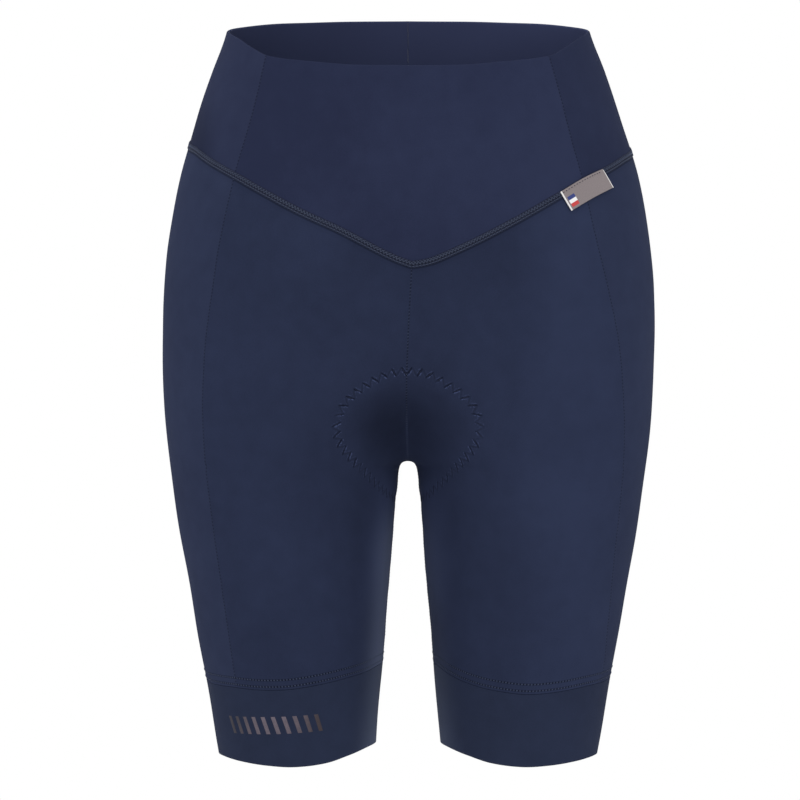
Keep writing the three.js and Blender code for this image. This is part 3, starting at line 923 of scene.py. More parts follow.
def sewn_pad(finish, colour, light, dark, deep, place, x, z):
    """The zigzag's marks: every other stroke lies in a channel of painted shade with a painted
    highlight on the edge beside it. Painted shade deepens the cloth over the pad, most towards its
    inside, and in a spot on the wearer's right of the middle."""
    run, off = finish.mark("pad_seam")
    half = ZIGZAG_HALF_WIDTH * MM
    tooth = zigzag_tooth * MM
    wave = run.pingpong(tooth) * (2 * half / tooth) - half
    beside = (off - wave) * (zigzag_tooth / math.hypot(zigzag_tooth, 2 * ZIGZAG_HALF_WIDTH))
    beside = beside + (finish.noise(place, 650.0) - 0.5) * 0.0016
    tufts = finish.noise(place, 900.0).eased(0.42, 0.58)
    in_band = 1 - abs(off).eased(half, half + 0.0006)
    stroke = (run * (math.pi / tooth)).sine().eased(-0.25, 0.3) * 0.75 + 0.25
    stroke = stroke * (finish.noise(place, 110.0).eased(0.36, 0.52) * 0.7 + 0.3) * in_band
    # Painted shade over the pad, and in a spot low on the wearer's right of the middle.
    pad_shade = 1 - off.eased(-0.040, 0.004)
    hollow = x.near(-0.018, 0.020) * z.near(-0.284, 0.030)
    colour = finish.mix(pad_shade * 0.24 + hollow * 0.2, colour, scaled(dark, 0.2))
    # Painted highlight on the raised edge beside each stroke.
    pulled = beside.near(-0.0011, 0.0006) + beside.near(0.0013, 0.0005) * 0.5
    colour = finish.mix(pulled * tufts * stroke * 0.6, colour, scaled(light, 3.2))
    # Painted shade in the channel under every other stroke.
    return finish.mix(beside.near(0.0, 0.0008) * stroke * 0.8, colour, deep)


def knit(name, light, dark, rough=0.92, lining=None, bump=0.35, sewn=(), thigh_light=None,
         light_slope=0.0, turned=0.0, hip_shade=0.0):
    """Stretch warp knit. Fine V loops, wale by course, as bump; two soft noises and a filament
    speckle vary the colour; the lining face may have its own, with painted light mixed in. Sewn
    names the seams whose marks it shows, which carry painted shade and highlights. The last four
    arguments paint light and shade into the colour: how much painted light lifts the wearer's
    right and left inner thighs; how fast a painted light gradient raises the tone towards the
    wearer's left; how much painted highlight lies beside the wearer's left side seam; and how much
    painted shade deepens it low at the wearer's right hip."""
    finish = Finish(name)
    across, up = finish.pair(finish.cloth_place())
    place = finish.object_place()
    wales = (across * (2 * math.pi / WALE)).sine()
    courses = (up * (2 * math.pi / COURSE) + wales * 1.2).sine()
    loops = wales * 0.5 + courses * 0.35
    cloudy = finish.noise(place, 14.0, 3.0)
    patchy = finish.noise(place, 90.0)
    speckle = finish.noise(place, 1500.0, 1.0)
    relief = loops * 0.5 + speckle * 0.9 + patchy * 0.5
    x, _, z = finish.parts(place)
    # The dark colour of the painted shade in needle holes, seam lines, channels and hollows.
    deep = scaled(dark, 0.25)
    # The last term of the tone is a painted light gradient across the body.
    tone = (cloudy - 0.5) * 1.3 + (patchy - 0.5) * 0.7 + (speckle - 0.5) * 0.9 + 0.5 + x * light_slope
    # Painted highlight beside the wearer's left side seam.
    if turned:
        seam_highlight = x.near(0.118, 0.045) * turned
        colour = finish.mix((tone + seam_highlight).clamp(), dark, light)
        colour = finish.mix(seam_highlight * 0.6, colour, scaled(light, 2.0))
    else:
        colour = finish.mix(tone.clamp(), dark, light)
    if lining:
        inner = finish.node("ShaderNodeAttribute", {"attribute_name": "lining"}, {})
        # Painted light on the lining face: its colour is made lighter towards the wearer's left.
        faced = finish.mix((x * 5.0 + 0.5).clamp(), scaled(lining, 0.84), scaled(lining, 1.18))
        colour = finish.mix(inner.out("Fac").clamp(), colour, faced)
    if hip_shade:
        # Painted shade low at the wearer's right hip.
        hip = (0 - x).eased(0.128, 0.150) * (1 - z.eased(-0.080, -0.030))
        colour = finish.mix(hip * hip_shade, colour, deep)
    if "sides" in sewn:
        colour, relief = sewn_sides(finish, colour, relief, light, deep, x, z)
    if "cuff" in sewn:
        colour = sewn_cuff(finish, colour, deep)
    if "yoke" in sewn:
        colour = sewn_yoke(finish, colour, deep)
    if thigh_light:
        colour = painted_thigh_light(finish, colour, light, thigh_light, x, z)
    if "pad" in sewn:
        colour = sewn_pad(finish, colour, light, dark, deep, place, x, z)
    return finish.surface(
        base_color=colour,
        roughness=((speckle - 0.5) * 0.12 + rough).clamp(),
        normal=finish.bump(relief, bump, 0.00016),
        specular_ior_level=0.02,
        sheen_weight=0.012,
        sheen_roughness=0.5,
        sheen_tint=(0.62, 0.68, 1.0, 1.0),
    )


# The front panels get a painted highlight by the wearer's left side seam and painted light on the
# inner thighs.
front_knit = knit("front_knit", srgb(41, 48, 71), srgb(34, 40, 60), turned=0.2,
                  sewn=("sides", "cuff", "yoke", "pad"), thigh_light=(1.0, 0.32))

for wearer_side, side in (("left", 1), ("right", -1)):
    net = panel_net(
        None,
        lambda height: side_seam(height, side),
        lambda around: cuff_seam(around, side),
        lambda around: yoke_seam(around, side),
        places_across(66, crowd_start=1.3),
        leg_rows(62, 78),
    )
    name = f"leg_front_{wearer_side}"
    piece = cloth_panel(f"{name}_cloth", side, net, BODY_WALL, start_middle=True)
    piece.data.materials.append(front_knit)
    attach(piece, "root")
    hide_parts(name)

# ---------------------------------------------------------------------------------------
# Side and back leg panels. Each wraps in one piece from the front side seam round the hip and seat
# to the centre-back seam and the inseam, in the same knit, painted a shade lighter for the side
# light on the hips.
# ---------------------------------------------------------------------------------------
hip_knit = knit("hip_knit", srgb(44, 51, 74), srgb(37, 43, 64),
                sewn=("sides", "cuff", "yoke", "pad"), thigh_light=(1.0, 0.32))

for wearer_side, side in (("left", 1), ("right", -1)):
    net = panel_net(
        lambda height: side_seam(height, side),
        None,
        lambda around: cuff_seam(around, side),
        lambda around: yoke_seam(around, side),
        places_across(128, crowd_end=1.25),
        leg_rows(62, 96),
    )
    name = f"leg_back_{wearer_side}"
    piece = cloth_panel(f"{name}_cloth", side, net, BODY_WALL, end_middle=True)
    piece.data.materials.append(hip_knit)
    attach(piece, "root")
    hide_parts(name)

# ---------------------------------------------------------------------------------------
# Waistband. A wide yoke folded double at the top edge: a V-shaped front with the two sides running
# round to a centre-back seam. It has no elastic or cord of its own. The two sides are copies of
# one knit with painted light: the wearer's right lighter and the wearer's left darker, as the side
# lights fall on them.
# ---------------------------------------------------------------------------------------
WAISTBAND_WALL = 2.0
# Columns: share of the way from centre front to centre back, height of the top edge.
WAIST_EDGE = np.array([
    [0, -30.5],
    [0.1, -30],
    [0.16, -28],
    [0.21, -26],
    [0.25, -24],
    [0.28, -21.5],
    [0.32, -15.5],
    [0.37, -8.5],
    [0.44, -2.5],
    [0.5, 0.5],
    [0.6, 5.5],
    [0.7, 10],
    [0.78, 12],
    [0.87, 13.5],
    [1, 14],
])


def waist_edge(around):
    """Height of the top edge, with the half seam gap added that a panel net takes off."""
    return smooth_between(WAIST_EDGE, 1, around) + SEAM_GAP / 2


# The lining face is lighter than the outside: painted light for the light that falls in through
# the waist opening.
WAIST_LINING_LIT = srgb(51, 57, 84)
# The waist front carries a painted light gradient, lighter towards the wearer's left.
waist_front_knit = knit("waist_front_knit", srgb(42, 48, 72), srgb(35, 40, 62),
                        lining=WAIST_LINING_LIT, sewn=("sides",), light_slope=4.5)
# Lit and shaded copies of one knit: painted light on the wearer's right side, painted shade on the
# left.
waist_lit_and_shaded_knits = {
    1: knit("waist_left_knit", srgb(40, 46, 69), srgb(34, 39, 60), lining=WAIST_LINING_LIT,
            sewn=("sides",)),
    -1: knit("waist_right_knit", srgb(43, 49, 72), srgb(37, 42, 64), lining=WAIST_LINING_LIT,
             sewn=("sides",), hip_shade=0.45),
}

for wearer_side, side in (("left", 1), ("right", -1)):
    net = panel_net(
        lambda height: side_seam(height, side),
        None,
        lambda around: yoke_seam(around, side),
        waist_edge,
        places_across(110, crowd_end=1.05),
        even_rows(34),
    )
    name = f"waistband_{wearer_side}"
    piece = cloth_panel(f"{name}_cloth", side, net, WAISTBAND_WALL, end_middle=True, open_top=True)
    piece.data.materials.append(waist_lit_and_shaded_knits[side])
    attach(piece, "root")
    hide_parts(name)


def waistband_half(side):
    """Outer and inner points, UV and seam marks of one half of the front yoke, from the
    centre front, where nothing is sewn, to the side seam."""
    share, inset = places_across(56)
    edge = len(EDGE_STEPS)
    share, inset = np.append(0.0, share[edge:]), np.append(0.0, inset[edge:])
    heights, row_count = even_rows(54)
    around = np.full((row_count, len(share)), 0.1)
    for _ in range(14):
        low = yoke_seam(around, side) + SEAM_GAP / 2
        high = waist_edge(around)
        height = heights(low, high, around)
        length = girth(height)
        last = side_seam(height, side) - SEAM_GAP / 2 / length
        around = np.maximum(last * share + inset / length, 0)
    base = surface(around, height)
    normal = outward(base)
    from_side = np.maximum((last - around) * length, 0)
    from_seam = np.maximum(height - low, 0)
    s = around * length - to_side(height)
    relief = relief_at(base, around, side)
    relief = relief + pucker(height + 40 * side, from_side)
    relief = relief + pucker(s, from_seam) * eased(base[..., 0], 0, 6)
    roll = np.maximum(edge_round(from_side, 0.12), edge_round(from_seam, 0.6))
    folded = edge_round(np.maximum(high - height, 0), WAISTBAND_WALL / 2)
    outer = base + normal * (relief - np.maximum(roll, folded))[..., None]
    inner = base + normal * (relief - WAISTBAND_WALL + folded)[..., None]
    flip = np.array([side, 1, 1])
    uv = np.stack([side * around * length, height], -1)
    return outer * flip, inner * flip, uv, height, from_side


outer, inner, uv, run, off = (
    np.concatenate([right[:, :0:-1], left], axis=1)
    for right, left in zip(waistband_half(-1), waistband_half(1)))
front_yoke = shell_mesh("waistband_front_cloth", outer, inner, 1, uv,
                        marks={"side_seams": (run, off)})
front_yoke.data.materials.append(waist_front_knit)
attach(front_yoke, "root")
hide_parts("waistband_front")

# ---------------------------------------------------------------------------------------
# Cuffs. One seamless elastic band round each hem, smoother than the legs, sewn on under
# two rows of stitching and raw-cut at the lower edge. The wearer's right one carries a row
# of slanted bars in dull reflective print.
# ---------------------------------------------------------------------------------------
CUFF_WALL = 1.8
# Columns: share of the way round the thigh from the inseam, height of the hem.
HEM = np.array([
    [0, -511],
    [0.07, -511],
    [0.14, -514],
    [0.19, -517.5],
    [0.25, -519.5],
    [0.3, -519],
    [0.36, -518],
    [0.43, -517.5],
    [0.5, -518.5],
    [0.6, -518],
    [0.8, -514.5],
    [1, -511],
])
# The cuffs get painted reflected light along their inner edges.
cuff_knit = knit("cuff_knit", srgb(40, 47, 68), srgb(34, 40, 58), rough=0.8, bump=0.25,
                 thigh_light=(0.6, 0.42))

for wearer_side, side in (("left", 1), ("right", -1)):
    heights, row_count = even_rows(22)
    around = np.tile(np.arange(236) / 236, (row_count, 1))
    low = smooth_between(HEM, 1, around)
    high = cuff_seam(around, side) - SEAM_GAP / 2
    height = heights(low, high, around)
    base = surface(around, height)
    normal = outward(base)
    s = around * girth(height) - to_side(height)
    relief = relief_at(base, around, side) + pucker(s, high - height)
    roll = edge_round(np.minimum(height - low, high - height), 0.45)
    outer = base + normal * (relief - roll)[..., None]
    inner = base + normal * (relief - CUFF_WALL)[..., None]
    name = f"cuff_{wearer_side}"
    piece = shell_mesh(f"{name}_cloth", outer, inner, side, np.stack([s, height], -1),
                       closed_round=True)
    piece.data.materials.append(cuff_knit)
    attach(piece, "root")
    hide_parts(name)

PRINT_FROM = 0.195
PRINT_HEIGHT = 12.5
PRINT_TOP = -481.5
BAR_WIDTH = 3.2
BAR_PITCH = 7.6
BAR_COUNT = 10
BAR_LEAN = 3.6


def printed_bars():
    """Slanted bars of ink laid on the cuff: each a grid of points that leans sideways with
    height, its edges tucked under the cloth's face."""
    across = np.array([0, 0.04, 0.3, 0.5, 0.7, 0.96, 1])
    up = np.array([0, 0.02, 0.25, 0.5, 0.75, 0.98, 1])
    lift = np.minimum.outer(np.minimum(up, 1 - up) > 0, np.minimum(across, 1 - across) > 0)
    start = np.arange(BAR_COUNT)[:, None, None] * BAR_PITCH
    s = start + BAR_WIDTH * across + BAR_LEAN * up[:, None]
    height = PRINT_TOP - PRINT_HEIGHT * (1 - up[:, None]) - 0.055 * s
    around = PRINT_FROM + s / girth(-490.0)
    base = surface(around, height)
    relief = relief_at(base, around, -1) + pucker(around * girth(height) - to_side(height),
                                                  cuff_seam(around, -1) - height)
    points = base + outward(base) * (relief + np.where(lift, 0.09, -0.12))[..., None]
    rows, columns = len(up), len(across)
    index = np.arange(rows * columns).reshape(rows, columns)
    quads = np.stack([index[:-1, :-1], index[1:, :-1], index[1:, 1:], index[:-1, 1:]], -1)
    quads = quads.reshape(-1, 4)[None] + (np.arange(BAR_COUNT) * rows * columns)[:, None, None]
    return make_mesh("cuff_print", points.reshape(-1, 3) * [-1, 1, 1], quads.reshape(-1, 4))


def reflective_ink():
    """Dull ink full of tiny beads, whose reflection is painted in as colour along the row: brown
    at both ends and a pinkish pale grey in the middle, with a fine grain that lets the cloth show."""
    finish = Finish("reflective_ink")
    place = finish.object_place()
    x, _ = finish.pair(place)
    grain = finish.noise(place, 2400.0, 2.0)
    worn = finish.noise(place, 300.0, 3.0)
    # Painted reflection of the beads, brightest in the middle of the row and darkest at its outer
    # end.
    middle = (x + 0.094).near(0.0, 0.030)
    colour = finish.mix(middle, srgb(54, 43, 45), srgb(98, 88, 98))
    colour = finish.mix(x.eased(-0.126, -0.108), srgb(40, 36, 44), colour)
    colour = finish.mix((grain * 0.9 + worn * 0.6 - 0.55).clamp(), colour, srgb(46, 46, 60))
    return finish.surface(
        base_color=colour, roughness=(grain * 0.2 + 0.5).clamp(),
        normal=finish.bump(grain, 0.5, 0.0001), specular_ior_level=0.3)


cuff_print = printed_bars()
cuff_print.data.materials.append(reflective_ink())
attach(cuff_print, "root")

# ---------------------------------------------------------------------------------------
# Stitching. Textured polyester thread: a covered flat seam along the yoke, flat-locked
# butt seams elsewhere, twin rows over each cuff and a wide zigzag round the seat pad.
# ---------------------------------------------------------------------------------------
STRAND_SIDES = 6


def strands(name, paths, normals, radius, material):
    """One joined mesh of short threads, each a tube round its own path of points, thinner
    at its ends. Paths are thread by point, normals point off the cloth. Known fault: the
    corners run the wrong way round, so every face points into its thread."""
    count, steps = paths.shape[:2]
    along = unit(np.gradient(paths, axis=1))
    up = unit(normals - along * (normals * along).sum(-1, keepdims=True))
    beside = np.cross(along, up)
    turn = np.arange(STRAND_SIDES) / STRAND_SIDES * 2 * np.pi
    thin = radius * np.minimum(1, 0.55 + 1.6 * np.sin(np.pi * np.linspace(0, 1, steps)))
    around_path = (np.cos(turn)[:, None] * beside[:, :, None, :]
                   + np.sin(turn)[:, None] * up[:, :, None, :])
    points = paths[:, :, None, :] + around_path * thin[None, :, None, None]
    index = np.arange(steps * STRAND_SIDES).reshape(steps, STRAND_SIDES)
    index = np.concatenate([index, index[:, :1]], axis=1)
    quads = np.stack([index[:-1, :-1], index[:-1, 1:], index[1:, 1:], index[1:, :-1]], -1)
    half = STRAND_SIDES // 2
    caps = []
    for loop in (index[0, -2::-1], index[-1, :-1]):
        caps.append([loop[0], loop[1], loop[2], loop[half]])
        caps.append([loop[half], loop[half + 1], loop[half + 2], loop[0]])
    faces = np.concatenate([quads.reshape(-1, 4), np.array(caps)])
    faces = faces[None] + (np.arange(count) * steps * STRAND_SIDES)[:, None, None]
    piece = make_mesh(name, points.reshape(-1, 3), faces.reshape(-1, 4))
    piece.data.materials.append(material)
    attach(piece, "root")
    return piece


def arched(starts, ends, normals, arch, sink):
    """Paths of stitches that leave the cloth at a start, arch over it as sin(pi t) and
    enter it at an end; the normals come back one for each point."""
    t = np.array([0.0, 0.16, 0.5, 0.84, 1.0])
    lift = arch * np.sin(np.pi * t) ** 0.6 - sink * (1 - np.sin(np.pi * t))
    paths = (starts[:, None] * (1 - t)[None, :, None] + ends[:, None] * t[None, :, None]
             + normals[:, None] * lift[None, :, None])
    return paths, np.repeat(normals[:, None], len(t), axis=1)


def on_cloth(around, height, side, gather):
    """Points of the cloth's outer face, on the wearer's own side, and the directions off
    it."""
    base = surface(around, height)
    normal = outward(base)
    lift = relief_at(base, around, side) + gather
    flip = np.array([side, 1, 1])
    return (base + normal * lift[..., None]) * flip, normal * flip


def thread(name, light, dark):
    """Textured thread: colour varied by a fine noise, dull, with a trace of sheen."""
    finish = Finish(name)
    fibre = finish.noise(finish.object_place(), 2600.0)
    return finish.surface(
        base_color=finish.mix(fibre, dark, light), roughness=(fibre * 0.2 + 0.7).clamp(),
        normal=finish.bump(fibre, 0.4, 0.0001), specular_ior_level=0.12,
        sheen_weight=0.05, sheen_roughness=0.4, sheen_tint=(0.7, 0.75, 1.0, 1.0))


navy_thread = thread("navy_thread", srgb(60, 67, 90), srgb(40, 46, 66))
pale_thread = thread("pale_thread", srgb(72, 80, 100), srgb(50, 57, 76))
dark_thread = thread("dark_thread", srgb(26, 29, 46), srgb(17, 19, 33))
zigzag_thread = thread("zigzag_thread", srgb(34, 39, 60), srgb(22, 26, 44))


LADDER_HALF_WIDTH = 0.5
LADDER_SLANT = 0.45
LADDER_RADIUS = 0.15


def ladder(name, line, normal, material=navy_thread):
    """Threads that cross a butt seam, one at each point of a line, a little slanted."""
    along = unit(np.gradient(line, axis=0))
    across = unit(np.cross(along, normal)) * LADDER_HALF_WIDTH + along * LADDER_SLANT
    paths, normals = arched(line - across, line + across, normal, 0.02, 0.2)
    strands(name, paths, normals, LADDER_RADIUS, material)


def row(name, holes, normal, gap, radius, arch, material):
    """Straight stitches from each needle hole towards the next, short of both by half the
    gap."""
    along = unit(np.diff(holes, axis=0))
    starts, ends = holes[:-1] + along * gap / 2, holes[1:] - along * gap / 2
    paths, normals = arched(starts, ends, normal[:-1], arch, 0.2)
    strands(name, paths, normals, radius, material)


def beats(low, high, pitch, phase):
    """Places a pitch apart between two limits, in step with the needle holes of the
    cloth's material."""
    first = math.ceil((low / pitch) - phase)
    last = math.floor((high / pitch) - phase)
    return (np.arange(first, last + 1) + phase) * pitch


for wearer_side, side in (("left", 1), ("right", -1)):
    # Front side seam, from the cuff to the yoke and on to the waist.
    low = cuff_seam(side_seam(-466.0, side), side)
    middle = yoke_seam(side_seam(-110.0, side), side)
    top = waist_edge(side_seam(-20.0, side))
    for part, start, end in (("leg", low + 1, middle - 2.5), ("waist", middle + 2.5, top - 2)):
        height = beats(start, end, SEAM_PITCH, 0.75)
        line, normal = on_cloth(side_seam(height, side), height, side,
                                pucker(height + 40 * side, 0.0))
        ladder(f"side_seam_{part}_{wearer_side}", line, normal)
    # Inseam, from the crotch to the cuff.
    run = beats(cuff_seam(0.0, side) - CROTCH_HEIGHT + 1, -2, SEAM_PITCH, 0.75)
    height = CROTCH_HEIGHT + run
    line, normal = on_cloth(np.zeros(len(height)), height, side, pucker(height + 40 * side, 0.0))
    ladder(f"inseam_{wearer_side}", line, normal)
    # Twin rows above each cuff.
    for label, above in zip(("lower", "upper"), CUFF_ROWS):
        around = np.linspace(0.002, 0.998, 900)
        height = cuff_seam(around, side) + above
        s = around * girth(height) - to_side(height)
        holes = np.interp(beats(s[0], s[-1], CUFF_PITCH, 0.25), s, around)
        height = cuff_seam(holes, side) + above
        gather = pucker(holes * girth(height) - to_side(height), above)
        line, normal = on_cloth(holes, height, side, gather)
        row(f"cuff_row_{label}_{wearer_side}", line, normal, 1.25, 0.26, 0.16, pale_thread)


def middle_ladder(name, low, high, at_back, material=navy_thread):
    """Threads across the middle seam between two running lengths from the crotch."""
    heights = np.linspace(CROTCH_HEIGHT + 0.01, WAIST_EDGE[-1, 1], 4000)
    runs = middle_run(heights, at_back)
    height = np.interp(beats(low, high, SEAM_PITCH, 0.75), runs, heights)
    around = np.full(len(height), 1.0 if at_back else 0.0)
    line, normal = on_cloth(around, height, 1, pucker(height + 40, 0.0))
    line[:, 0] = 0.0
    ladder(name, line, normal, material=material)


middle_ladder("centre_front_seam", 6, float(middle_run(YOKE_SEAM[0, 1] - 2.5, False)), False,
              pale_thread)
middle_ladder("centre_back_seam", 6, float(middle_run(YOKE_SEAM[-1, 1] - 2.5, True)), True)
middle_ladder("centre_back_waist_seam", float(middle_run(YOKE_SEAM[-1, 1] + 2.5, True)),
              float(middle_run(WAIST_EDGE[-1, 1] - 2, True)), True)

# The zigzag round the pad, sewn through from outside, its teeth at even steps. It runs
# from tooth to tooth over the form and lies in its own groove; the strokes that slope back
# are pulled in deeper, and a few sink out of sight.
for wearer_side, side in (("left", 1), ("right", -1)):
    legs = int(round(zigzag_run[-1] / zigzag_tooth))
    share = np.linspace(0.06, 0.94, 7)
    run = (np.arange(legs)[:, None] + share) * zigzag_tooth
    swing = np.where(np.arange(legs) % 2 == 0, 1, -1)[:, None] * (2 * share - 1)
    centre, out = (np.stack([np.interp(run, zigzag_run, part[:, k]) for k in range(3)], axis=-1)
                   for part in (zigzag_points, zigzag_out))
    base = onto_form(centre + out * (swing * ZIGZAG_HALF_WIDTH)[..., None])
    base[..., 0] = np.maximum(base[..., 0], 0.02)
    normal = outward(base)
    sunk = np.array([-0.32, -0.1, 0.02, 0.06, 0.02, -0.1, -0.32])
    slack = np.where(np.arange(legs) % 2 == 0, 0.0, 0.12)
    slack = slack + np.where(np.sin(np.arange(legs) * 2.4 + side) > 0.72, 0.25, 0.0)
    lift = relief_at(base, share_round(base), side) + sunk - slack[:, None]
    flip = np.array([side, 1, 1])
    strands(f"pad_zigzag_{wearer_side}", (base + normal * lift[..., None]) * flip,
            normal * flip, 0.22, zigzag_thread)

# The yoke seam: one low band of looper thread right round, with a row of needle stitches
# along each side of it.
BAND_HALF_WIDTH = 2.45
BAND_HEIGHT = 0.42
BAND_PITCH = 2.35
BAND_FURROW = -0.6


def yoke_loop(lift):
    """The yoke seam as a closed line from the centre front round by the wearer's left, and
    the directions off the cloth; lift moves it up the body."""
    halves = []
    for side in (1, -1):
        around = np.linspace(0, 1, 700)
        height = yoke_seam(around, side) + lift
        s = around * girth(height) - to_side(height)
        gather = pucker(s, 0.0) * eased(np.minimum(around, 1 - around), 0, 0.015)
        halves.append(on_cloth(around, height, side, gather))
    (left, left_off), (right, right_off) = halves
    return np.concatenate([left, right[-2:0:-1]]), np.concatenate([left_off, right_off[-2:0:-1]])


def even_loop(points, normals, count):
    """A closed line and its normals at even steps, with the length of a step."""
    closed = np.concatenate([points, points[:1]])
    length = walk(closed)
    even = np.arange(count) * length[-1] / count
    line, normal = (
        np.stack([np.interp(even, length, part[:, k]) for k in range(3)], axis=1)
        for part in (closed, np.concatenate([normals, normals[:1]])))
    return line, unit(normal), length[-1] / count


def band_finish():
    """Looper thread packed side by side across the seam, with fine ridges and painted shade: over
    the upper part under the loops, in a dark furrow of needle holes below the middle, in the
    needle holes along both edges, a thin shadow along the upper edge and a deep one along the
    lower."""
    finish = Finish("seam_band_thread")
    run, off = finish.mark("band")
    fibre = finish.noise(finish.object_place(), 2000.0)
    worn = finish.noise(finish.object_place(), 160.0)
    colour = finish.mix((fibre * 0.8 + worn * 0.5 - 0.15).clamp(), srgb(31, 36, 53),
                        srgb(45, 52, 72))
    ridges = (run * (2 * math.pi / 0.0006) + abs(off) * 2600.0).sine()
    beat = (run * (2 * math.pi / (BAND_PITCH * MM))).sine() * 0.5 + 0.5
    furrow = off.near(BAND_FURROW * MM, 0.0007)
    edges = beat.power(1.5) * (off.near(0.0021, 0.0007) + off.near(-0.0021, 0.0005))
    shadow = srgb(14, 16, 30)
    # Painted shade under the looper threads, over the upper part of the band.
    colour = finish.mix(off.eased(-0.0006, 0.0) * 0.35, colour, shadow)
    colour = finish.mix(furrow * (beat * 0.7 + 0.2), colour, shadow)
    colour = finish.mix((edges * 0.8).clamp(), colour, shadow)
    colour = finish.mix((1 - off.eased(-0.0025, -0.0021)) * 0.6, colour, shadow)
    colour = finish.mix(off.eased(0.0021, 0.0024) * 0.5, colour, shadow)
    return finish.surface(
        base_color=colour, roughness=(fibre * 0.2 + 0.7).clamp(),
        normal=finish.bump(ridges * 0.6 + fibre, 0.5, 0.00012), specular_ior_level=0.1)


def seam_band():
    """The band's profile is height * (1 - v^4)^(1/2) over its width, with a furrow pressed
    into it as exp(-(distance / 0.35)^2), carried round the yoke seam and closed
    underneath."""
    line, normal, step = even_loop(*yoke_loop(0.0), 800)
    along = unit(np.roll(line, -1, axis=0) - np.roll(line, 1, axis=0))
    beside = unit(np.cross(normal, along))
    v = np.linspace(-1, 1, 19)
    pressed = np.exp(-((v * BAND_HALF_WIDTH - BAND_FURROW) / 0.35) ** 2)
    rise = BAND_HEIGHT * np.sqrt(1 - v ** 4) * (1 - 0.6 * pressed)
    v, rise = np.append(v, [1.0, -1.0]), np.append(rise, [-0.5, -0.5])
    points = (line[:, None] + beside[:, None] * (v * BAND_HALF_WIDTH)[None, :, None]
              + normal[:, None] * rise[None, :, None])
    rows, columns = points.shape[:2]
    index = np.arange(rows * columns).reshape(rows, columns)
    index = np.concatenate([index, index[:, :1]], axis=1)
    index = np.concatenate([index, index[:1]])
    quads = np.stack([index[:-1, :-1], index[1:, :-1], index[1:, 1:], index[:-1, 1:]], -1)
    piece = make_mesh("yoke_seam_band", points.reshape(-1, 3), quads.reshape(-1, 4))
    run = np.repeat(np.arange(rows) * step, columns)
    off = np.tile(v * BAND_HALF_WIDTH, rows)
    attribute = piece.data.attributes.new("band", "FLOAT_VECTOR", "POINT")
    attribute.data.foreach_set(
        "vector", (np.stack([run, off, np.zeros(run.shape)], axis=1) * MM).ravel())
    piece.data.materials.append(band_finish())
    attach(piece, "root")


seam_band()
for label, off, tone in (("upper", 2.0, navy_thread), ("lower", -1.45, pale_thread)):
    line, normal = yoke_loop(off)
    count = int(round(walk(line)[-1] / BAND_PITCH))
    holes, normal, _ = even_loop(line + normal * BAND_HEIGHT * 0.82, normal, count)
    holes, normal = np.append(holes, holes[:1], axis=0), np.append(normal, normal[:1], axis=0)
    row(f"yoke_row_{label}", holes, normal, 0.8, 0.26, 0.16, tone)
line, normal = yoke_loop(0.0)
line, normal, _ = even_loop(line, normal, 2 * int(walk(line)[-1] / 2.4))
along = unit(np.roll(line, -1, axis=0) - np.roll(line, 1, axis=0))
swing = np.where(np.arange(len(line)) % 2 == 0, 1.7, -0.3)[:, None]
corners = line + np.cross(normal, along) * swing + normal * BAND_HEIGHT
paths, normals = arched(corners, np.roll(corners, -1, axis=0), normal, 0.1, 0.05)
strands("yoke_looper", paths, normals, 0.24, pale_thread)

# ---------------------------------------------------------------------------------------
# Seat pad. Moulded foam faced with knit, thin at its sewn edge, with two full cheeks
# behind and a channel along the middle; it lies inside the crotch under the zigzag.
# ---------------------------------------------------------------------------------------
PAD_EDGE = 1.0
PAD_CLEARANCE = 2.2
PAD_ROWS = 150
PAD_HALF_COLUMNS = 44

pad_knit = knit("pad_knit", srgb(36, 40, 58), srgb(24, 27, 44), rough=0.95, bump=0.6)
share = np.linspace(0, 1, PAD_ROWS)
back = (share - 0.35 * np.sin(2 * np.pi * share) / (2 * np.pi)) * PAD[-1, 0]
half_width = smooth_between(PAD, 1, back)
full = smooth_between(PAD, 2, back)
out_share = np.linspace(0, 1, PAD_HALF_COLUMNS) ** 0.85
sideways = half_width[:, None] * out_share
back_grid = np.broadcast_to(back[:, None], sideways.shape)
cloth_face = on_crotch(back_grid, sideways)
normal = outward(cloth_face)
crown = PAD_EDGE + (full[:, None] - PAD_EDGE) * (1 - out_share ** 2) ** 0.7
channel = np.exp(-(sideways / 6.0) ** 2) * eased(back_grid, 30, 70) * eased(-back_grid, -330, -290)
groove = np.exp(-((out_share - 0.62) / 0.05) ** 2) * eased(full[:, None], 2.5, 5.5)
thickness = crown * (1 - 0.55 * channel - 0.35 * groove)
outer_half = cloth_face - normal * (BODY_WALL + PAD_CLEARANCE)
inner_half = outer_half - normal * thickness[..., None]
uv_half = np.stack([sideways, back_grid], -1)
outer, inner, uv = (
    np.concatenate([half[::-1, :0:-1] * flip, half[::-1]], axis=1)
    for half, flip in ((outer_half, [-1.0, 1, 1]), (inner_half, [-1.0, 1, 1]),
                       (uv_half, [-1.0, 1])))
seat_pad = shell_mesh("seat_pad_foam", outer, inner, 1, uv)
seat_pad.data.materials.append(pad_knit)
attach(seat_pad, "root")
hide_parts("seat_pad")

# ---------------------------------------------------------------------------------------
# Label. A grey woven tape, 41 by 15.5 mm, with white cut ends and three plain stripes at
# one end, sewn over the yoke seam at the wearer's left hip; its lower edge hangs free.
# ---------------------------------------------------------------------------------------
LABEL_START = 0.2325
LABEL_LENGTH = 41.0
LABEL_DROP = 15.5
LABEL_THICKNESS = 0.55
LABEL_LIFT = 0.9
LABEL_STITCH_DROP = 1.5

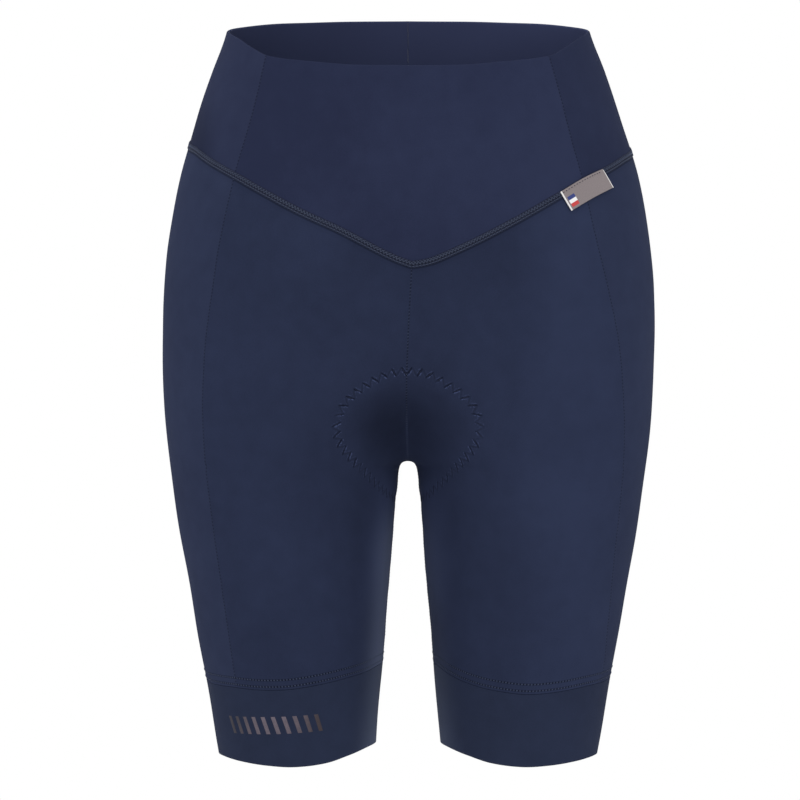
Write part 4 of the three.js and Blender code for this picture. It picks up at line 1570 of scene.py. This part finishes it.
along_share = np.linspace(0, 1, 87)[None, :]
down_share = np.linspace(1, 0, 63)[:, None]
length = girth(-110.0)
reach = LABEL_LENGTH * 0.975 * along_share / length
slant = LABEL_DROP * 0.385 * down_share / length
around = LABEL_START + reach + slant
bow = 0.5 * np.sin(np.pi * along_share) * (1 - 0.6 * down_share)
height = yoke_seam(LABEL_START + reach, 1) + 2 + bow - LABEL_DROP * 0.84 * down_share
height = height - 0.8 * eased(along_share, 0.965, 1.0) ** 2 * (1 - down_share) ** 6
base = surface(around, height)
normal = outward(base)
lift = (relief_at(base, around, 1) + 0.72 + LABEL_LIFT * down_share ** 1.5
        + 0.2 * np.sin(np.pi * along_share) ** 2 * (1 - down_share))
from_ends = np.minimum(along_share, 1 - along_share) * LABEL_LENGTH
roll = edge_round(np.minimum(from_ends, np.minimum(down_share, 1 - down_share) * LABEL_DROP), 0.25)
inner = base + normal * lift[..., None]
outer = inner + normal * (LABEL_THICKNESS - roll)[..., None]
uv = np.stack(np.broadcast_arrays(along_share * LABEL_LENGTH, (1 - down_share) * LABEL_DROP), -1)


def woven_label():
    """Grey tape with a fine ribbed weave, white selvedges at both ends, and blue, white
    and red stripes stacked near its first end; all from the tape's own UV in metres."""
    finish = Finish("label_weave")
    cloth = finish.cloth_place()
    x, y = finish.pair(cloth)

    def within(value, low, high, soft=0.00012):
        """1 between low and high, with soft edges."""
        return value.eased(low - soft, low + soft) * (1 - value.eased(high - soft, high + soft))

    ribs = (x * (2 * math.pi / 0.0005)).sine() * 0.5 + (y * (2 * math.pi / 0.0004)).sine() * 0.5
    fleck = finish.noise(cloth, 1800.0)
    grey = finish.mix(fleck, srgb(104, 96, 98), srgb(142, 133, 134))
    ends = (within(x, -0.001, 0.0009) + within(x, LABEL_LENGTH * MM - 0.0009, 0.1)).clamp()
    colour = finish.mix(ends, grey, srgb(228, 226, 225))
    flag = within(x, 0.0020, 0.0078)
    for low, high, stripe in ((0.0071, 0.0098, srgb(50, 62, 118)),
                              (0.0044, 0.0071, srgb(226, 226, 226)),
                              (0.0017, 0.0044, srgb(186, 66, 66))):
        colour = finish.mix(flag * within(y, low, high), colour, stripe)
    return finish.surface(
        base_color=colour, roughness=(fleck * 0.2 + 0.65).clamp(),
        normal=finish.bump(ribs * 0.5 + fleck, 0.5, 0.00012),
        specular_ior_level=0.2, sheen_weight=0.05)


label = shell_mesh("label_tape", outer, inner, 1, uv)
label.data.materials.append(woven_label())
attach(label, "root")
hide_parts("label")

stitch_row = int(round((1 - LABEL_STITCH_DROP / LABEL_DROP) * (len(outer) - 1)))
line, off = outer[stitch_row], normal[stitch_row]
even = np.arange(0.8, LABEL_LENGTH - 0.8, 2.5)
holes, off = (np.stack([np.interp(even, walk(line), part[:, k]) for k in range(3)], axis=1)
              for part in (line, off))
row("label_stitches", holes, off, 1.2, 0.24, 0.12, dark_thread)

# ---------------------------------------------------------------------------------------
# Studio. A wide pale floor a metre below the waist, an even white room, a large soft light
# at each side and a weaker one above the front, and a long lens on to the shorts.
# ---------------------------------------------------------------------------------------
FLOOR_BELOW_WAIST = 1.0
FLOOR_RADIUS = 2.45
CAMERA_DISTANCE = 2.3
CAMERA_HEIGHT = -0.18
AIM = (-0.0058, 0.0, -0.2648)
FRAME_WIDTH = 0.5757

turn = np.linspace(0, 2 * np.pi, 97)[:-1]
rim = np.stack([FLOOR_RADIUS * np.cos(turn), FLOOR_RADIUS * np.sin(turn),
                np.full(96, -FLOOR_BELOW_WAIST)], 1)
floor_mesh = bpy.data.meshes.new("floor")
floor_mesh.from_pydata(rim.tolist(), [], [tuple(range(96))])
floor = bpy.data.objects.new("floor", floor_mesh)
floor.data.materials.append(Finish("floor_white").surface(
    base_color=(0.75, 0.75, 0.75, 1.0), roughness=0.9, specular_ior_level=0.1))
bpy.context.scene.collection.objects.link(floor)

world = bpy.data.worlds.new("white_room")
world.use_nodes = True
world.node_tree.nodes["Background"].inputs["Color"].default_value = (1, 1, 1, 1)
world.node_tree.nodes["Background"].inputs["Strength"].default_value = 1.0
bpy.context.scene.world = world


def soft_light(name, place, target, size, watts):
    """A square area light turned to face the target."""
    data = bpy.data.lights.new(name, "AREA")
    data.shape = "SQUARE"
    data.size = size
    data.energy = watts
    lamp = bpy.data.objects.new(name, data)
    bpy.context.scene.collection.objects.link(lamp)
    lamp.location = place
    back_along = unit(np.array(place, float) - np.array(target, float))
    right = unit(np.cross([0, 0, 1], back_along))
    up = np.cross(back_along, right)
    lamp.rotation_euler = Matrix(np.stack([right, up, back_along], 1).tolist()).to_euler()


soft_light("left_side_light", (-2.0, -0.6, 0.7), (0, 0, -0.2), 1.4, 11)
soft_light("right_side_light", (1.7, -1.5, 0.5), (0, 0, -0.2), 1.4, 8)
soft_light("front_top_light", (0.0, -1.5, 1.6), (0, 0, -0.2), 1.4, 5)

camera_data = bpy.data.cameras.new("camera")
camera_data.sensor_width = 36
camera_data.lens = 36 * CAMERA_DISTANCE / FRAME_WIDTH
camera_data.clip_end = 200
camera = bpy.data.objects.new("camera", camera_data)
bpy.context.scene.collection.objects.link(camera)
camera.location = (AIM[0], -CAMERA_DISTANCE, CAMERA_HEIGHT)
tilt = math.atan2(CAMERA_HEIGHT - AIM[2], CAMERA_DISTANCE)
camera.rotation_euler = (math.pi / 2 - tilt, 0, 0)
bpy.context.scene.camera = camera
bpy.context.scene.view_settings.view_transform = "Standard"
